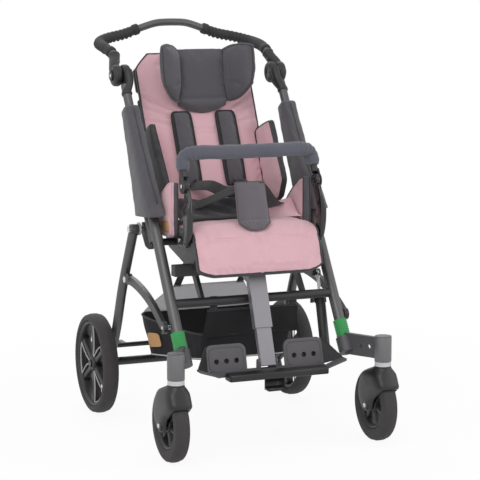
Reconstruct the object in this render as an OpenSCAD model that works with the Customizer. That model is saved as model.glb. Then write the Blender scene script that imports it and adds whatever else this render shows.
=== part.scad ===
// Special needs buggy: a folding push frame on casters with a padded, tilting seat unit.
// Millimetres. +Z is up, the front faces -Y, X = 0 is the plane of symmetry, the floor is Z = 0.

/* [Wheels] */
// Distance from the rear axle forward to the caster stems
wheelbase = 642; // [620:1:670]
// Distance from the middle of a rear leg out to the middle of its wheel
rear_beside = 39; // [37:1:52]
// Distance from the middle of a front tube out to its caster stem
caster_beside = 60; // [55:1:70]
// Diameter of a rear wheel
rear_wheel_d = 290; // [270:1:300]
// Width of a rear tyre
rear_tyre_w = 46; // [36:1:50]
// Diameter of a caster wheel
caster_d = 200; // [180:1:210]
// Width of a caster tyre
caster_tyre_w = 40; // [30:1:46]
// How far a caster wheel trails behind its stem
caster_trail = 40; // [30:1:46]
// Diameter of a caster stem housing
stem_d = 45; // [38:1:50]
// Height of a caster stem housing
stem_h = 70; // [60:1:80]
// Height of the light ring under a stem housing
ring_h = 12; // [8:1:16]

/* [Frame] */
// Distance from a side of the seat out to the middle of the front tube
tube_beside = 54; // [49:1:59]
// Slope of the front tubes against the floor, degrees
tube_slope = 57.2; // [54:0.1:60]
// Outer diameter of a front tube
tube_d = 30; // [26:1:32]
// Wall of a front tube
tube_wall = 2; // [1.5:0.1:2.5]
// Length of a front tube
tube_len = 752; // [720:1:780]
// Distance of the tube foot in front of the rear axle
foot_ahead = 530; // [520:1:540]
// Outer diameter of a handle tube
handle_tube_d = 25; // [22:0.5:25.4]
// Diameter of the cross tubes
cross_d = 25; // [20:1:28]
// Distance along the front tube to the lower cross tube
cross_u = 150; // [140:1:160]
// Distance along the front tube to the rear leg pivot
leg_u = 418; // [412:1:424]
// Distance of the rear leg pivot behind the front tube
leg_v = 89; // [86:1:92]
// Diameter of a rear leg
leg_d = 25; // [22:1:26]
// Distance from the middle of a front tube out to the middle of a rear leg
leg_beside = 28; // [27:1:31]

/* [Handle] */
// Length of a handle tube from its padded sleeve to the joint
joint_rise = 118; // [100:1:140]
// Diameter of a handle joint
joint_d = 62; // [54:1:66]
// Diameter of the handle bar
handle_d = 22; // [18:1:24]
// Diameter of a grip
grip_d = 33; // [28:1:36]
// Reach of the handle behind its joint
handle_reach = 238; // [220:1:260]
// Rise of the handle above its joint
handle_rise = 143; // [130:1:160]

/* [Seat unit] */
// Width of the seat board
seat_w = 372; // [360:1:380]
// Depth of the seat board
seat_depth = 246; // [236:1:256]
// Thickness of the seat pad
seat_pad_t = 36; // [28:1:40]
// Lean of the backrest against the floor, degrees
back_lean = 65; // [60:1:70]
// Height of the back shell along its lean
back_h = 515; // [505:1:525]
// How far each side of the back shell lies inside the seat board
back_inset = 8; // [6:1:12]
// Thickness of the back pad
back_pad_t = 28; // [20:1:32]
// Height of the headrest pad
head_h = 170; // [150:1:180]
// Width of the middle of the headrest
head_w = 140; // [120:1:150]
// Length of the foot post from its top to the footplate
foot_post_len = 249; // [240:1:262]
// Width of the foot post
foot_post_w = 50; // [40:1:56]
// How far each side of the footplate lies inside the seat board
footplate_inset = 23; // [18:1:30]

/* [Hidden] */
$fn = 48;

// Clearance between pieces that move on each other, and between pieces of one body
gap = 0.4;
fit = 0.2;
overrun = 3;

// Colours as the photograph shows them
graphite = [0.3, 0.3, 0.31];
black = [0.14, 0.14, 0.15];
silver = [0.66, 0.66, 0.68];
light_grey = [0.76, 0.76, 0.77];
charcoal = [0.35, 0.34, 0.36];
pink = [0.86, 0.68, 0.72];
green = [0.24, 0.58, 0.34];
grey = [0.42, 0.41, 0.43];

// Half widths of the tracks
tube_x = seat_w / 2 + tube_beside;
leg_x = tube_x + leg_beside;
rear_x = leg_x + rear_beside;
caster_x = tube_x + caster_beside;
back_w = seat_w - 2 * back_inset;
footplate_w = seat_w - 2 * footplate_inset;

// Heights of the casters, from the floor up
tyre_clear = 3.5;
crown_t = 12;
crown_z = caster_d + tyre_clear;
ring_z = crown_z + crown_t + gap;
stem_z = ring_z + ring_h + fit;
arm_h = 58;
arm_t = 14;
arm_z = stem_z + stem_h / 2;
arm_hole_d = 9;
arm_big_hole_d = 15;
arm_hole_shares = [0.46, 0.64];
stem_pin_d = 16;
stem_roof = 8;
fork_t = 11;
skirt_t = 8;
skirt_start_angle = 98;
skirt_end_angle = 146;
fork_rub = 1;
fork_front = 26;
fork_rear = 34;
axle_d = 10;
axle_head_d = 17;
axle_head_t = 3;
caster_rim_d = 0.66 * caster_d;
rear_rim_d = 0.74 * rear_wheel_d;
hub_d = 40;
rear_hub_d = 54;
rim_ring_t = 9;
tyre_round = 12;
spoke_count = 6;
spoke_w = 16;

// Frame line: the foot of the front tube, where it enters the caster arm's clamp
foot_y = -foot_ahead;
foot_lift = 1;
foot_z = arm_z + foot_lift;
tube_sunk = 24;
clamp_d = 46;
clamp_below = 30;
clamp_above = 14;
clamp_mid_share = -0.27;
elastomer_d = 39;
elastomer_len = 50;
elastomer_ribs = 7;
elastomer_rib = 2;
clamp_mid_u = clamp_mid_share * clamp_below;
cross_y = tube_point(cross_u, 0)[0];
cross_z = tube_point(cross_u, 0)[1];
leg_y = tube_point(leg_u, leg_v)[0];
leg_z = tube_point(leg_u, leg_v)[1];
handle_tube_in = 90;
rail_d = 22;
rail_v = 37;
rail_start = 350;
rail_len = 245;
bracket_in = 13;
bracket_x = tube_x - bracket_in;
bracket_t = 14;
bracket_low = 340;
bracket_high = 404;
pin_d = 12;
pin_head_d = 20;
pin_head_t = 4;
latch_d = 10;

// Padded tube sleeves: section and length
sleeve_low = 416;
sleeve_len = 334;
joint_u = max(tube_len - tube_sunk, sleeve_low + sleeve_len) + joint_rise;
joint_neck_share = 0.22;
handle_tube_top = joint_u - joint_d / 2 - joint_neck_share * joint_d;
sleeve_t = 46;
sleeve_wide = 94;
sleeve_narrow = 50;
sleeve_v = 13;
sleeve_flare = 14;

// Seat pivot and the seat unit's own places, measured from the pivot, front negative
seat_u = 370;
seat_v = 81;
pivot_d = 20;
pivot_y = tube_point(seat_u, seat_v)[0];
pivot_z = tube_point(seat_u, seat_v)[1];
bar_y = -133;
bar_z = -60;
bar_s = 30;
bar_past = 28;
bar_len = seat_w + 2 * bar_past;
rail_inset = 36;
rail_x = seat_w / 2 - rail_inset;
rail_t = 12;
board_t = 10;
board_top = 30;
board_front = -180;
board_rear = board_front + seat_depth;
hinge_y = 84;
hinge_z = 42;
hinge_d = 10;
hinge_boss_d = 26;
post_x = rail_x;
post_t = 10;

// Gas strut: top eye under the seat bar and trunnion by the lower cross tube
strut_in = 20;
strut_x = tube_x - strut_in;
strut_eye_in = 5;
strut_eye_y = bar_y + strut_eye_in;
strut_eye_z = -93;
strut_eye_d = 26;
strut_eye_hole = 18;
strut_pin_d = 6;
strut_d = 28;
strut_len = 132;
strut_rod_d = 9;
strut_head_y = -148;
strut_head_z = -168;
strut_collar_d = 34;
strut_collar_h = 14;
trunnion_d = 8;

// Hip pads, bumper and crotch pad, measured from the seat pivot
seat_inset = 3;
hip_y = -38;
hip_h = 136;
hip_low = 34;
hip_z = hip_low + hip_h / 2;
hip_len = 124;
hip_slope_share = 0.56;
hip_t = 28;
plate_x = seat_w / 2 + fit;
plate_t = 12;
plate_low_y = -184;
plate_bolt_y = -172;
plate_bolt_z = 174;
plate_w = 40;
bumper_y = -142;
bumper_z = 261;
bumper_d = 20;
bumper_cover_d = 36;
bumper_x = plate_x + plate_t / 2;
bumper_bend = 46;
bumper_bow = 18;
crotch_low_y = -186;
crotch_sink = 3.1;
crotch_low_z = board_top + seat_pad_t - crotch_sink;
crotch_len = 118;
crotch_w = 78;
crotch_t = 26;
crotch_lean = 18;
buckle_w = 46;
buckle_h = 34;
buckle_t = 14;

// Backrest, measured in its own frame: up along the lean, forward as negative
shell_t = 8;
shell_back = 14;
lug_t = 10;
wing_t = 40;
wing_inset = 8;
wing_in = rail_x - wing_inset;
wing_low = 36;
wing_foot_reach = 84;
wing_foot_share = 0.2;
wing_flare = 8;
wing_high = 262;
wing_low_reach = 128;
wing_high_reach = 80;
shoulder_t = 15;
shoulder_w = 62;
shoulder_len = 225;
shoulder_x = 68;
shoulder_low = 95;
head_low = 338;
head_tilt_angle = 18;
head_t = 34;
head_wing = 88;
head_wing_angle = 41;
head_plate_t = 6;
head_stem_w = 60;
head_stem_t = 6;
head_stem_low = 230;
head_slot_room = 84;

// Foot post and footplate, measured from the seat pivot
post_top_y = -197;
post_top_z = -66;
post_lean = 20.2;
post_depth = 22;
post_wall = 3;
post_outer_len = 156;
post_inner_in = 68;
plate_thick = 6;
tray_len = 46;
tray_wing = 50;
tray_wing_len = 30;
tray_wing_rise = 18;
heel_h = 76;
heel_w = 116;
heel_gap = 56;
heel_lean = 14;
heel_holes = 3;
heel_corner = 20;
heel_hole_share = 0.4;
heel_hole_d = 14;
board_w = 286;
board_h = 20;
board_len = 44;
hook_w = 56;
hook_h = 36;
hook_t = 8;
hook_len = 30;
foot_pin_d = 10;

// Rear frame
axle_z = rear_wheel_d / 2;
axle_tube_d = 24;
axle_pin_d = 12;
boss_d = 40;
link_t = 12;
link_w = 24;
link_end_d = 32;
link_rear_v = [43, -148];
link_front_v = [-240, -236];
link_sag = 20;
brake_d = 14;
brake_y = 6;
brake_z = 46;
brake_arm = 70;
brake_lug_t = 8;
brake_lug_x = 120;
pedal_w = 90;
pedal_t = 8;
pedal_len = 60;
cap_t = 4;

// Basket
basket_in = 37;
basket_w = 2 * (tube_x - basket_in);
basket_panel_in = 15;
basket_back_low = 172;
basket_back_high = 108;
basket_back_len = 130;
basket_panel_w = basket_w - 2 * basket_panel_in;
basket_wall = 4;
basket_floor_front = -412;
basket_floor_rear = -112;
basket_rear_top = -24;
basket_low = 182;
basket_front_low = 220;
basket_high = 292;
basket_strap_w = 24;
basket_strap_t = 3;

// Half the difference between the front and rear reach puts the middle of the box at Y = 0
joint_v = 20;
joint_y = tube_point(joint_u, joint_v)[0];
joint_z = tube_point(joint_u, joint_v)[1];
frame_shift = (wheelbase - caster_trail + caster_d / 2 - joint_y - handle_reach - grip_d / 2) / 2;
joint_half = 25;
button_d = 27;
button_t = 8;
button_travel = 4;
button_proud = 5;
collar_y = 57;
collar_z = 56;
socket_d = 33;

// Point in the side plane at u along the front tube and v behind it
function tube_point(u, v) = [
    foot_y + u * cos(tube_slope) + v * sin(tube_slope),
    foot_z + u * sin(tube_slope) - v * cos(tube_slope)
];

function unit(v) = v / norm(v);

// Smooth path through the points, with a number of steps between each two
function path_spot(p, i, t) =
    let (
        n = len(p) - 1,
        a = p[max(i - 1, 0)],
        b = p[i],
        c = p[min(i + 1, n)],
        d = p[min(i + 2, n)]
    )
    b + (c - a) * t / 2 + (2 * a - 5 * b + 4 * c - d) * pow(t, 2) / 2 + (3 * b - a - 3 * c + d) * pow(t, 3) / 2;
function smooth(p, steps) = concat(
    [for (i = [0 : len(p) - 2]) for (k = [0 : steps - 1]) path_spot(p, i, k / steps)],
    [p[len(p) - 1]]
);

// Direction of a path at one of its points
function heading(p, i) = unit(p[min(i + 1, len(p) - 1)] - p[max(i - 1, 0)]);

// Rings of points round a path, all of one radius or with a radius for each point
function ring_points(p, radius, sides, across) = [
    for (i = [0 : len(p) - 1])
        let (
            t = heading(p, i),
            n = unit(cross(t, across)),
            b = cross(n, t),
            r = is_list(radius) ? radius[i] : radius
        )
        for (k = [0 : sides - 1]) p[i] + r * (cos(360 * k / sides) * n + sin(360 * k / sides) * b)
];
function wall_faces(rings, sides, start, flip) = [
    for (i = [0 : rings - 2])
        for (k = [0 : sides - 1])
            let (
                a = start + i * sides + k,
                b = start + i * sides + (k + 1) % sides,
                c = b + sides,
                d = a + sides
            )
            for (f = [[a, b, c], [a, c, d]]) flip ? [f[2], f[1], f[0]] : f
];

// Solid rod along a path
module rod_along(p, radius, sides, across) {
    last = (len(p) - 1) * sides;
    polyhedron(
        points = ring_points(p, radius, sides, across),
        faces = concat(
            wall_faces(len(p), sides, 0, false),
            [[for (k = [sides - 1 : -1 : 0]) k]],
            [[for (k = [0 : sides - 1]) last + k]]
        )
    );
}

// Hollow tube along a path
module hose_along(p, radius, bore, sides, across) {
    count = len(p) * sides;
    last = (len(p) - 1) * sides;
    polyhedron(
        points = concat(ring_points(p, radius, sides, across), ring_points(p, bore, sides, across)),
        faces = concat(
            wall_faces(len(p), sides, 0, false),
            wall_faces(len(p), sides, count, true),
            [for (k = [0 : sides - 1])
                let (m = (k + 1) % sides)
                for (f = [[k, count + k, count + m], [k, count + m, m]]) f],
            [for (k = [0 : sides - 1])
                let (m = (k + 1) % sides)
                for (f = [[last + k, last + m, count + last + m], [last + k, count + last + m, count + last + k]]) f]
        )
    );
}

// Closed pad on a grid: place(u, v, s) gives a point for u and v from -1 to 1 and a face s of 1 or -1
module pad(nu, nv, place) {
    row = nu + 1;
    layer = row * (nv + 1);
    top = [
        for (j = [0 : nv - 1])
            for (i = [0 : nu - 1])
                let (a = j * row + i, b = a + 1, c = a + row + 1, d = a + row)
                for (f = [[a, d, c], [a, c, b]]) f
    ];
    bottom = [for (f = top) [layer + f[0], layer + f[2], layer + f[1]]];
    edge = concat(
        [for (i = [0 : nu - 1]) [i, i + 1]],
        [for (j = [0 : nv - 1]) [j * row + nu, (j + 1) * row + nu]],
        [for (i = [nu : -1 : 1]) [nv * row + i, nv * row + i - 1]],
        [for (j = [nv : -1 : 1]) [j * row, (j - 1) * row]]
    );
    sides = [for (e = edge) for (f = [[e[0], e[1], layer + e[1]], [e[0], layer + e[1], layer + e[0]]]) f];
    polyhedron(
        points = [
            for (s = [1, -1])
                for (j = [0 : nv])
                    for (i = [0 : nu]) place(2 * i / nu - 1, 2 * j / nv - 1, s)
        ],
        faces = concat(top, bottom, sides)
    );
}

// Crowned pad with drawn-in sides: width along X, length along Y, thickness along Z, on Z = 0
pull_share = 0.03;
rim_share = 0.45;
function crown(u, v) = (1 - pow(abs(u), 4)) * (1 - pow(abs(v), 4));
function drawn(u, v) = u * (1 - pull_share * (1 - pow(v, 2)));
function cushion(w, l, t) = function (u, v, s) [
    w / 2 * drawn(u, v),
    l / 2 * drawn(v, u),
    s < 0 ? 0 : t * (rim_share + (1 - rim_share) * crown(u, v))
];

module placed() {
    translate([0, frame_shift, 0]) children();
}

module sided(side) {
    if (side > 0) children();
    else mirror([1, 0, 0]) children();
}

module both() {
    children();
    mirror([1, 0, 0]) children();
}

// Flat shape drawn in the side plane, from x towards +X
module plate(x, t) {
    translate([x, 0, 0]) rotate([90, 0, 90]) linear_extrude(t) children();
}

// Round bar across the buggy, from x towards +X
module cross_bar(x, len, d) {
    translate([x, 0, 0]) rotate([0, 90, 0]) cylinder(h = len, d = d);
}

module tube_frame() {
    translate([0, foot_y, foot_z]) rotate([tube_slope - 90, 0, 0]) children();
}

module seat_place() {
    translate([0, pivot_y, pivot_z]) children();
}

module back_place() {
    translate([0, pivot_y + hinge_y, pivot_z + hinge_z]) rotate([back_lean - 90, 0, 0]) children();
}

module head_place() {
    back_place() translate([0, 0, head_low]) rotate([head_tilt_angle, 0, 0]) children();
}

// Foot post frame: origin at the top of the post, Z down along it
module post_place() {
    seat_place() translate([0, post_top_y, post_top_z]) rotate([180 - post_lean, 0, 0]) children();
}

// Fixed frame
module front_tube(side) {
    color(graphite) placed() sided(side) tube_frame() translate([tube_x, 0, -tube_sunk]) difference() {
        cylinder(h = tube_len, d = tube_d);
        translate([0, 0, tube_wall]) cylinder(h = tube_len, d = tube_d - 2 * tube_wall);
    }
}

module handle_tubes() {
    start = tube_len - tube_sunk - handle_tube_in;
    color(graphite) placed() both() tube_frame()
        translate([tube_x, 0, start]) cylinder(h = handle_tube_top - start, d = handle_tube_d);
}

module fold_rails() {
    color(graphite) placed() both() tube_frame()
        translate([tube_x, rail_v, rail_start]) cylinder(h = rail_len, d = rail_d);
}

module fold_brackets() {
    color(black) placed() both() tube_frame() difference() {
        plate(bracket_x, bracket_t) {
            polygon([
                [0, bracket_low], [0, bracket_high], [leg_v - boss_d / 2, bracket_high],
                [leg_v, leg_u + boss_d / 2], [leg_v + boss_d / 2, leg_u], [seat_v + boss_d / 2, seat_u],
                [seat_v, seat_u - boss_d / 2]
            ]);
        }
        translate([tube_x, 0, 0]) cylinder(h = tube_len, d = tube_d + 2 * fit);
        translate([tube_x, rail_v, 0]) cylinder(h = tube_len, d = rail_d + 2 * fit);
        translate([0, leg_v, leg_u]) cross_bar(bracket_x - overrun, bracket_t + 2 * overrun, pin_d + 2 * fit);
    }
}

module frame_pins() {
    color(silver) placed() both() {
        translate([0, leg_y, leg_z]) {
            cross_bar(bracket_x, leg_x + leg_d / 2 + gap - bracket_x, pin_d);
            cross_bar(leg_x + leg_d / 2 + gap, pin_head_t, pin_head_d);
        }
        translate([0, leg_y + link_front_v[0], leg_z + link_front_v[1]])
            cross_bar(latch_root, leg_x + link_t / 2 + gap - latch_root, latch_d);
        translate([0, joint_y, joint_z]) cross_bar(tube_x - joint_half + pin_head_t, joint_half, pin_d);
    }
}
// The latch pin starts on the outer side of the front tube
latch_gap = abs(
    (leg_y + link_front_v[0] - foot_y) * sin(tube_slope) - (leg_z + link_front_v[1] - foot_z) * cos(tube_slope)
);
latch_root = tube_x + sqrt(max(pow(tube_d / 2, 2) - pow(max(latch_gap - latch_d / 2, 0), 2), 0)) + fit;

module lower_cross_tube() {
    color(graphite) placed() difference() {
        translate([0, cross_y, cross_z]) cross_bar(-tube_x, 2 * tube_x, cross_d);
        both() tube_frame() translate([tube_x, 0, 0]) cylinder(h = tube_len, d = tube_d + 2 * fit);
    }
}

module seat_posts() {
    top = pivot_z + bar_z - bar_s / 2 - fit;
    color(black) placed() {
        both() difference() {
            plate(post_x - post_t / 2, post_t) polygon([
                [cross_y - cross_d / 2, cross_z],
                [cross_y + cross_d / 2, cross_z],
                [pivot_y + bar_y + bar_s / 2, top],
                [pivot_y + bar_y - bar_s / 2, top]
            ]);
            translate([0, cross_y, cross_z])
                cross_bar(post_x - post_t, 2 * post_t, cross_d + 2 * fit);
        }
        strut_bracket();
    }
}

// Ear behind the lower cross tube that carries the strut's trunnion
module strut_bracket() {
    ear_x = strut_x - strut_collar_d / 2 - gap - post_t;
    head_y = pivot_y + strut_head_y;
    head_z = pivot_z + strut_head_z;
    difference() {
        plate(ear_x, post_t) polygon([
            [cross_y, cross_z + cross_d / 2], [head_y + trunnion_d, head_z + trunnion_d],
            [head_y + trunnion_d, head_z - trunnion_d], [cross_y + cross_d / 4, cross_z - cross_d / 4]
        ]);
        translate([0, cross_y, cross_z]) cross_bar(ear_x - overrun, post_t + 2 * overrun, cross_d + 2 * fit);
        translate([0, head_y, head_z]) cross_bar(ear_x - overrun, post_t + 2 * overrun, trunnion_d + 2 * gap);
    }
}

module seat_pivot_tube() {
    color(graphite) placed() seat_place() cross_bar(-bracket_x + fit, 2 * (bracket_x - fit), pivot_d);
}

module caster_arm(side) {
    clamp_y = foot_y + clamp_mid_u * cos(tube_slope);
    run = [caster_x - tube_x, -wheelbase - clamp_y];
    reach = norm(run);
    color(black) placed() sided(side) difference() {
        union() {
            translate([caster_x, -wheelbase, stem_z]) cylinder(h = stem_h, d = stem_d);
            tube_frame() translate([tube_x, 0, -clamp_below]) cylinder(h = clamp_below + clamp_above, d = clamp_d);
            translate([tube_x, clamp_y, arm_z - arm_h / 2]) rotate([0, 0, atan2(run[1], run[0])])
                translate([0, -arm_t / 2, 0]) cube([reach, arm_t, arm_h]);
        }
        tube_frame() translate([tube_x, 0, -tube_sunk - fit]) cylinder(h = tube_len, d = tube_d + 2 * fit);
        tube_frame() translate([tube_x, 0, clamp_above]) cylinder(h = elastomer_len, d = elastomer_d + 2 * fit);
        translate([caster_x, -wheelbase, stem_z - overrun])
            cylinder(h = stem_h - stem_roof + overrun, d = stem_pin_d + 2 * gap);
        translate([tube_x, clamp_y, arm_z]) rotate([0, 0, atan2(run[1], run[0])]) {
            translate([reach * arm_hole_shares[0], arm_t, 0]) rotate([90, 0, 0])
                cylinder(h = 2 * arm_t, d = arm_hole_d);
            translate([reach * arm_hole_shares[1], arm_t, 0]) rotate([90, 0, 0])
                cylinder(h = 2 * arm_t, d = arm_big_hole_d);
        }
    }
}

module bearing_rings() {
    color(light_grey) placed() both() translate([caster_x, -wheelbase, ring_z]) difference() {
        cylinder(h = ring_h, d = stem_d);
        translate([0, 0, -overrun]) cylinder(h = ring_h + 2 * overrun, d = stem_pin_d + 2 * gap);
    }
}

module suspension_sleeves() {
    steps = 2 * elastomer_ribs;
    profile = [for (i = [0 : steps])
        [elastomer_d / 2 - (i % 2) * elastomer_rib, elastomer_len * i / steps]];
    color(green) placed() both() tube_frame() translate([tube_x, 0, clamp_above + fit]) rotate_extrude()
        polygon(concat(profile, [[tube_d / 2 + fit, elastomer_len], [tube_d / 2 + fit, 0]]));
}

module joint_bases() {
    color(black) placed() both() difference() {
        union() {
            translate([0, joint_y, joint_z]) cross_bar(tube_x - joint_half, joint_half - gap, joint_d);
            tube_frame() translate([tube_x, 0, handle_tube_top - joint_d / 2])
                cylinder(h = joint_d / 2 + joint_neck_share * joint_d + joint_d / 4, d = socket_d);
        }
        translate([0, joint_y, joint_z]) cross_bar(tube_x - gap, joint_half + socket_d, joint_d + 2 * gap);
        tube_frame() translate([tube_x, 0, handle_tube_top - tube_len])
            cylinder(h = tube_len + fit, d = handle_tube_d + 2 * fit);
        translate([0, joint_y, joint_z])
            cross_bar(tube_x - joint_half + pin_head_t - fit, joint_half + overrun, pin_d + 2 * fit);
    }
}

// Padded sleeve: a swelling flat tube round the front tube and the fold rail
module tube_sleeves() {
    rings = 14;
    sides = 20;
    path = [for (i = [0 : rings]) let (t = i / rings) [tube_x, 0, sleeve_low + sleeve_len * t]];
    color(charcoal) placed() both() tube_frame() difference() {
        polyhedron(
            points = [for (i = [0 : rings]) for (k = [0 : sides - 1])
                let (
                    t = i / rings,
                    swell = sleeve_end_share + (1 - sleeve_end_share) * pow(sin(180 * t), 0.4),
                    wide = (sleeve_wide + (sleeve_narrow - sleeve_wide) * pow(t, 1.6)) * swell,
                    mid = sleeve_v * (1 - pow(t, 2)),
                    out = sleeve_flare * pow(1 - t, 2),
                    a = 360 * k / sides,
                    c = sign(cos(a)) * pow(abs(cos(a)), 0.7),
                    s = sign(sin(a)) * pow(abs(sin(a)), 0.7)
                )
                path[i] + [(sleeve_t * swell / 2 + (c > 0 ? out : 0)) * c, mid + wide / 2 * s, 0]],
            faces = concat(
                wall_faces(rings + 1, sides, 0, true),
                [[for (k = [0 : sides - 1]) k]],
                [[for (k = [sides - 1 : -1 : 0]) rings * sides + k]]
            )
        );
        translate([tube_x, 0, 0]) cylinder(h = sleeve_low + sleeve_len + overrun, d = tube_d + 2 * gap);
        translate([tube_x, rail_v, 0]) cylinder(h = rail_start + rail_len + gap, d = rail_d + 2 * gap);
    }
}
sleeve_end_share = 0.86;

// Fabric tub hung from the lower cross tube in front and by two straps behind
module basket_side(inset) {
    polygon([
        [basket_floor_front + inset, basket_front_low + inset],
        [basket_floor_rear - inset, basket_low + inset],
        [basket_rear_top - inset, basket_high + (inset > 0 ? overrun : 0)],
        [basket_floor_front - cross_d / 2 + inset, basket_high + (inset > 0 ? overrun : 0)]
    ]);
}
module basket() {
    strap = [basket_rear_top, basket_high, pivot_y, pivot_z - pivot_d / 2 - gap];
    color(black) placed() {
        difference() {
            union() {
                plate(-basket_w / 2, basket_w) basket_side(0);
                plate(-basket_panel_w / 2, basket_panel_w) polygon([
                    [basket_floor_front - cross_d / 2, basket_high],
                    [basket_floor_front - cross_d / 2 + basket_wall, basket_high],
                    [cross_y + basket_wall / 2, cross_z - cross_d / 2 - gap],
                    [cross_y - basket_wall / 2, cross_z - cross_d / 2 - gap]
                ]);
                both() plate(basket_w / 2 - basket_strap_w - basket_wall, basket_strap_w) polygon([
                    [strap[0] - basket_wall, strap[1] - basket_wall], [strap[0], strap[1]],
                    [strap[2] + basket_strap_t, strap[3]], [strap[2] - basket_strap_t, strap[3]]
                ]);
            }
            plate(-basket_w / 2 + basket_wall, basket_w - 2 * basket_wall) basket_side(basket_wall);
        }
        translate([0, basket_rear_top, basket_high])
            rotate([atan2(strap[3] - strap[1], strap[2] - strap[0]), 0, 0]) linear_extrude(basket_wall) polygon([
                [-basket_back_low, -basket_wall], [basket_back_low, -basket_wall],
                [basket_back_high, basket_back_len], [-basket_back_high, basket_back_len]
            ]);
    }
}

// Handle
function handle_points(x, h) = [
    [x, joint_y + collar_y * h, joint_z + collar_z * h],
    [x, joint_y + collar_y, joint_z + collar_z],
    [x + joint_half / 4, joint_y + handle_reach * 0.5, joint_z + handle_rise * 0.52],
    [x, joint_y + handle_reach * 0.8, joint_z + handle_rise * 0.6],
    [x * 0.85, joint_y + handle_reach * 0.96, joint_z + handle_rise * 0.68],
    [x * 0.62, joint_y + handle_reach, joint_z + handle_rise * 0.76],
    [x * 0.42, joint_y + handle_reach, joint_z + handle_rise * 0.87],
    [x * 0.2, joint_y + handle_reach * 0.98, joint_z + handle_rise * 0.98],
    [0, joint_y + handle_reach * 0.97, joint_z + handle_rise]
];
handle_start_share = 0.62;
handle_half = smooth(handle_points(tube_x, handle_start_share), 4);
handle_whole = concat(
    handle_half,
    [for (i = [len(handle_half) - 2 : -1 : 0]) [-handle_half[i][0], handle_half[i][1], handle_half[i][2]]]
);
grip_start_share = 0.156;
grip_end_share = 0.75;
grip_first = round(grip_start_share * (len(handle_half) - 1));
grip_last = round(grip_end_share * (len(handle_half) - 1));

module handle_bar() {
    color(graphite) placed() rod_along(handle_whole, handle_d / 2, 16, [0, 0, 1]);
}

module grips() {
    path = [for (i = [grip_first : grip_last]) handle_half[i]];
    last = len(path) - 1;
    ribs = [for (i = [0 : last])
        i < 2 || i > last - 2 ? grip_d / 2 : grip_d / 2 * (i % 2 == 0 ? grip_rib_share : grip_hollow_share)];
    color(black) placed() both() hose_along(path, ribs, handle_d / 2 + fit, 16, [0, 0, 1]);
}
grip_rib_share = 0.96;
grip_hollow_share = 0.84;

module joint_caps() {
    color(black) placed() both() difference() {
        union() {
            translate([0, joint_y, joint_z]) cross_bar(tube_x + gap, joint_half, joint_d);
            translate([tube_x, joint_y, joint_z]) rotate([-atan2(collar_y, collar_z), 0, 0])
                cylinder(h = norm([collar_y, collar_z]), d = socket_d);
        }
        translate([0, joint_y, joint_z])
            cross_bar(tube_x - joint_half - socket_d, joint_half + socket_d + gap, joint_d + 2 * gap);
        translate([0, joint_y, joint_z])
            cross_bar(tube_x + joint_half + gap - button_t - button_travel, joint_half, button_d + 2 * gap);
        translate([0, joint_y, joint_z])
            cross_bar(tube_x - joint_half, 2 * joint_half - 2 * pin_head_t, pin_d + 2 * gap);
        rod_along(handle_whole, handle_d / 2 + fit, 16, [0, 0, 1]);
    }
}

module button(side) {
    color(black) placed() sided(side) translate([0, joint_y, joint_z])
        cross_bar(tube_x + joint_half + gap - button_t + button_proud, button_t, button_d);
}

// Casters
// Arc of the mudguard-like front of a fork, about the wheel's middle
skirt_steps = 6;
function skirt_arc(r) = [for (i = [0 : skirt_steps])
    let (a = skirt_start_angle + (skirt_end_angle - skirt_start_angle) * i / skirt_steps) r * [cos(a), sin(a)]];
module caster_fork(side) {
    arm_x = caster_tyre_w / 2 + fork_rub;
    color(black) placed() sided(side) translate([caster_x, -wheelbase, 0]) difference() {
        union() {
            translate([0, 0, crown_z]) cylinder(h = crown_t, d = stem_d);
            translate([0, 0, crown_z]) cylinder(h = stem_z + stem_h - stem_roof - gap - crown_z, d = stem_pin_d);
            plate(-arm_x - fork_t, 2 * (arm_x + fork_t)) polygon([
                [-fork_front, crown_z], [-fork_front / 2, crown_z + crown_t],
                [caster_trail, crown_z + crown_t], [caster_trail + fork_rear, crown_z]
            ]);
            plate(-arm_x - fork_t, 2 * (arm_x + fork_t)) translate([caster_trail, caster_d / 2])
                polygon(concat(
                    skirt_arc(crown_z - caster_d / 2),
                    reversed(skirt_arc(crown_z - caster_d / 2 + skirt_t))
                ));
            both() plate(arm_x, fork_t) {
                polygon([
                    [-fork_front, crown_z], [caster_trail + fork_rear, crown_z],
                    [caster_trail + fork_rear / 2, caster_d / 2], [caster_trail - fork_rear / 2, caster_d / 2],
                    [-fork_front / 2, (caster_d + crown_z) / 2.4]
                ]);
                translate([caster_trail, caster_d / 2]) circle(d = fork_rear * 1.1);
            }
            translate([0, caster_trail, caster_d / 2])
                cross_bar(-arm_x - fork_t - axle_head_t, 2 * (arm_x + fork_t + axle_head_t), axle_head_d);
        }
        translate([0, caster_trail, caster_d / 2]) difference() {
            cross_bar(-arm_x, 2 * arm_x, axle_head_d + overrun);
            cross_bar(-arm_x - overrun, 2 * (arm_x + overrun), axle_d);
        }
    }
    color(silver) placed() sided(side) translate([caster_x, caster_trail - wheelbase, caster_d / 2])
        cross_bar(-arm_x, 2 * arm_x, axle_d);
}

// Tyre with a rounded tread, about the X axis
module tyre(d, w, inner) {
    r = d / 2;
    steps = 6;
    corner = [for (i = [0 : steps]) let (a = 90 * i / steps)
        [r - tyre_round + tyre_round * sin(a), w / 2 - tyre_round + tyre_round * cos(a)]];
    rotate([0, 90, 0]) rotate_extrude() polygon(concat(
        [[inner / 2, -w / 2 + tyre_bead], [inner / 2, w / 2 - tyre_bead], [inner / 2 + tyre_bead, w / 2]],
        corner,
        [for (i = [steps : -1 : 0]) [corner[i][0], -corner[i][1]]],
        [[inner / 2 + tyre_bead, -w / 2]]
    ));
}
tyre_bead = 5;

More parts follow.
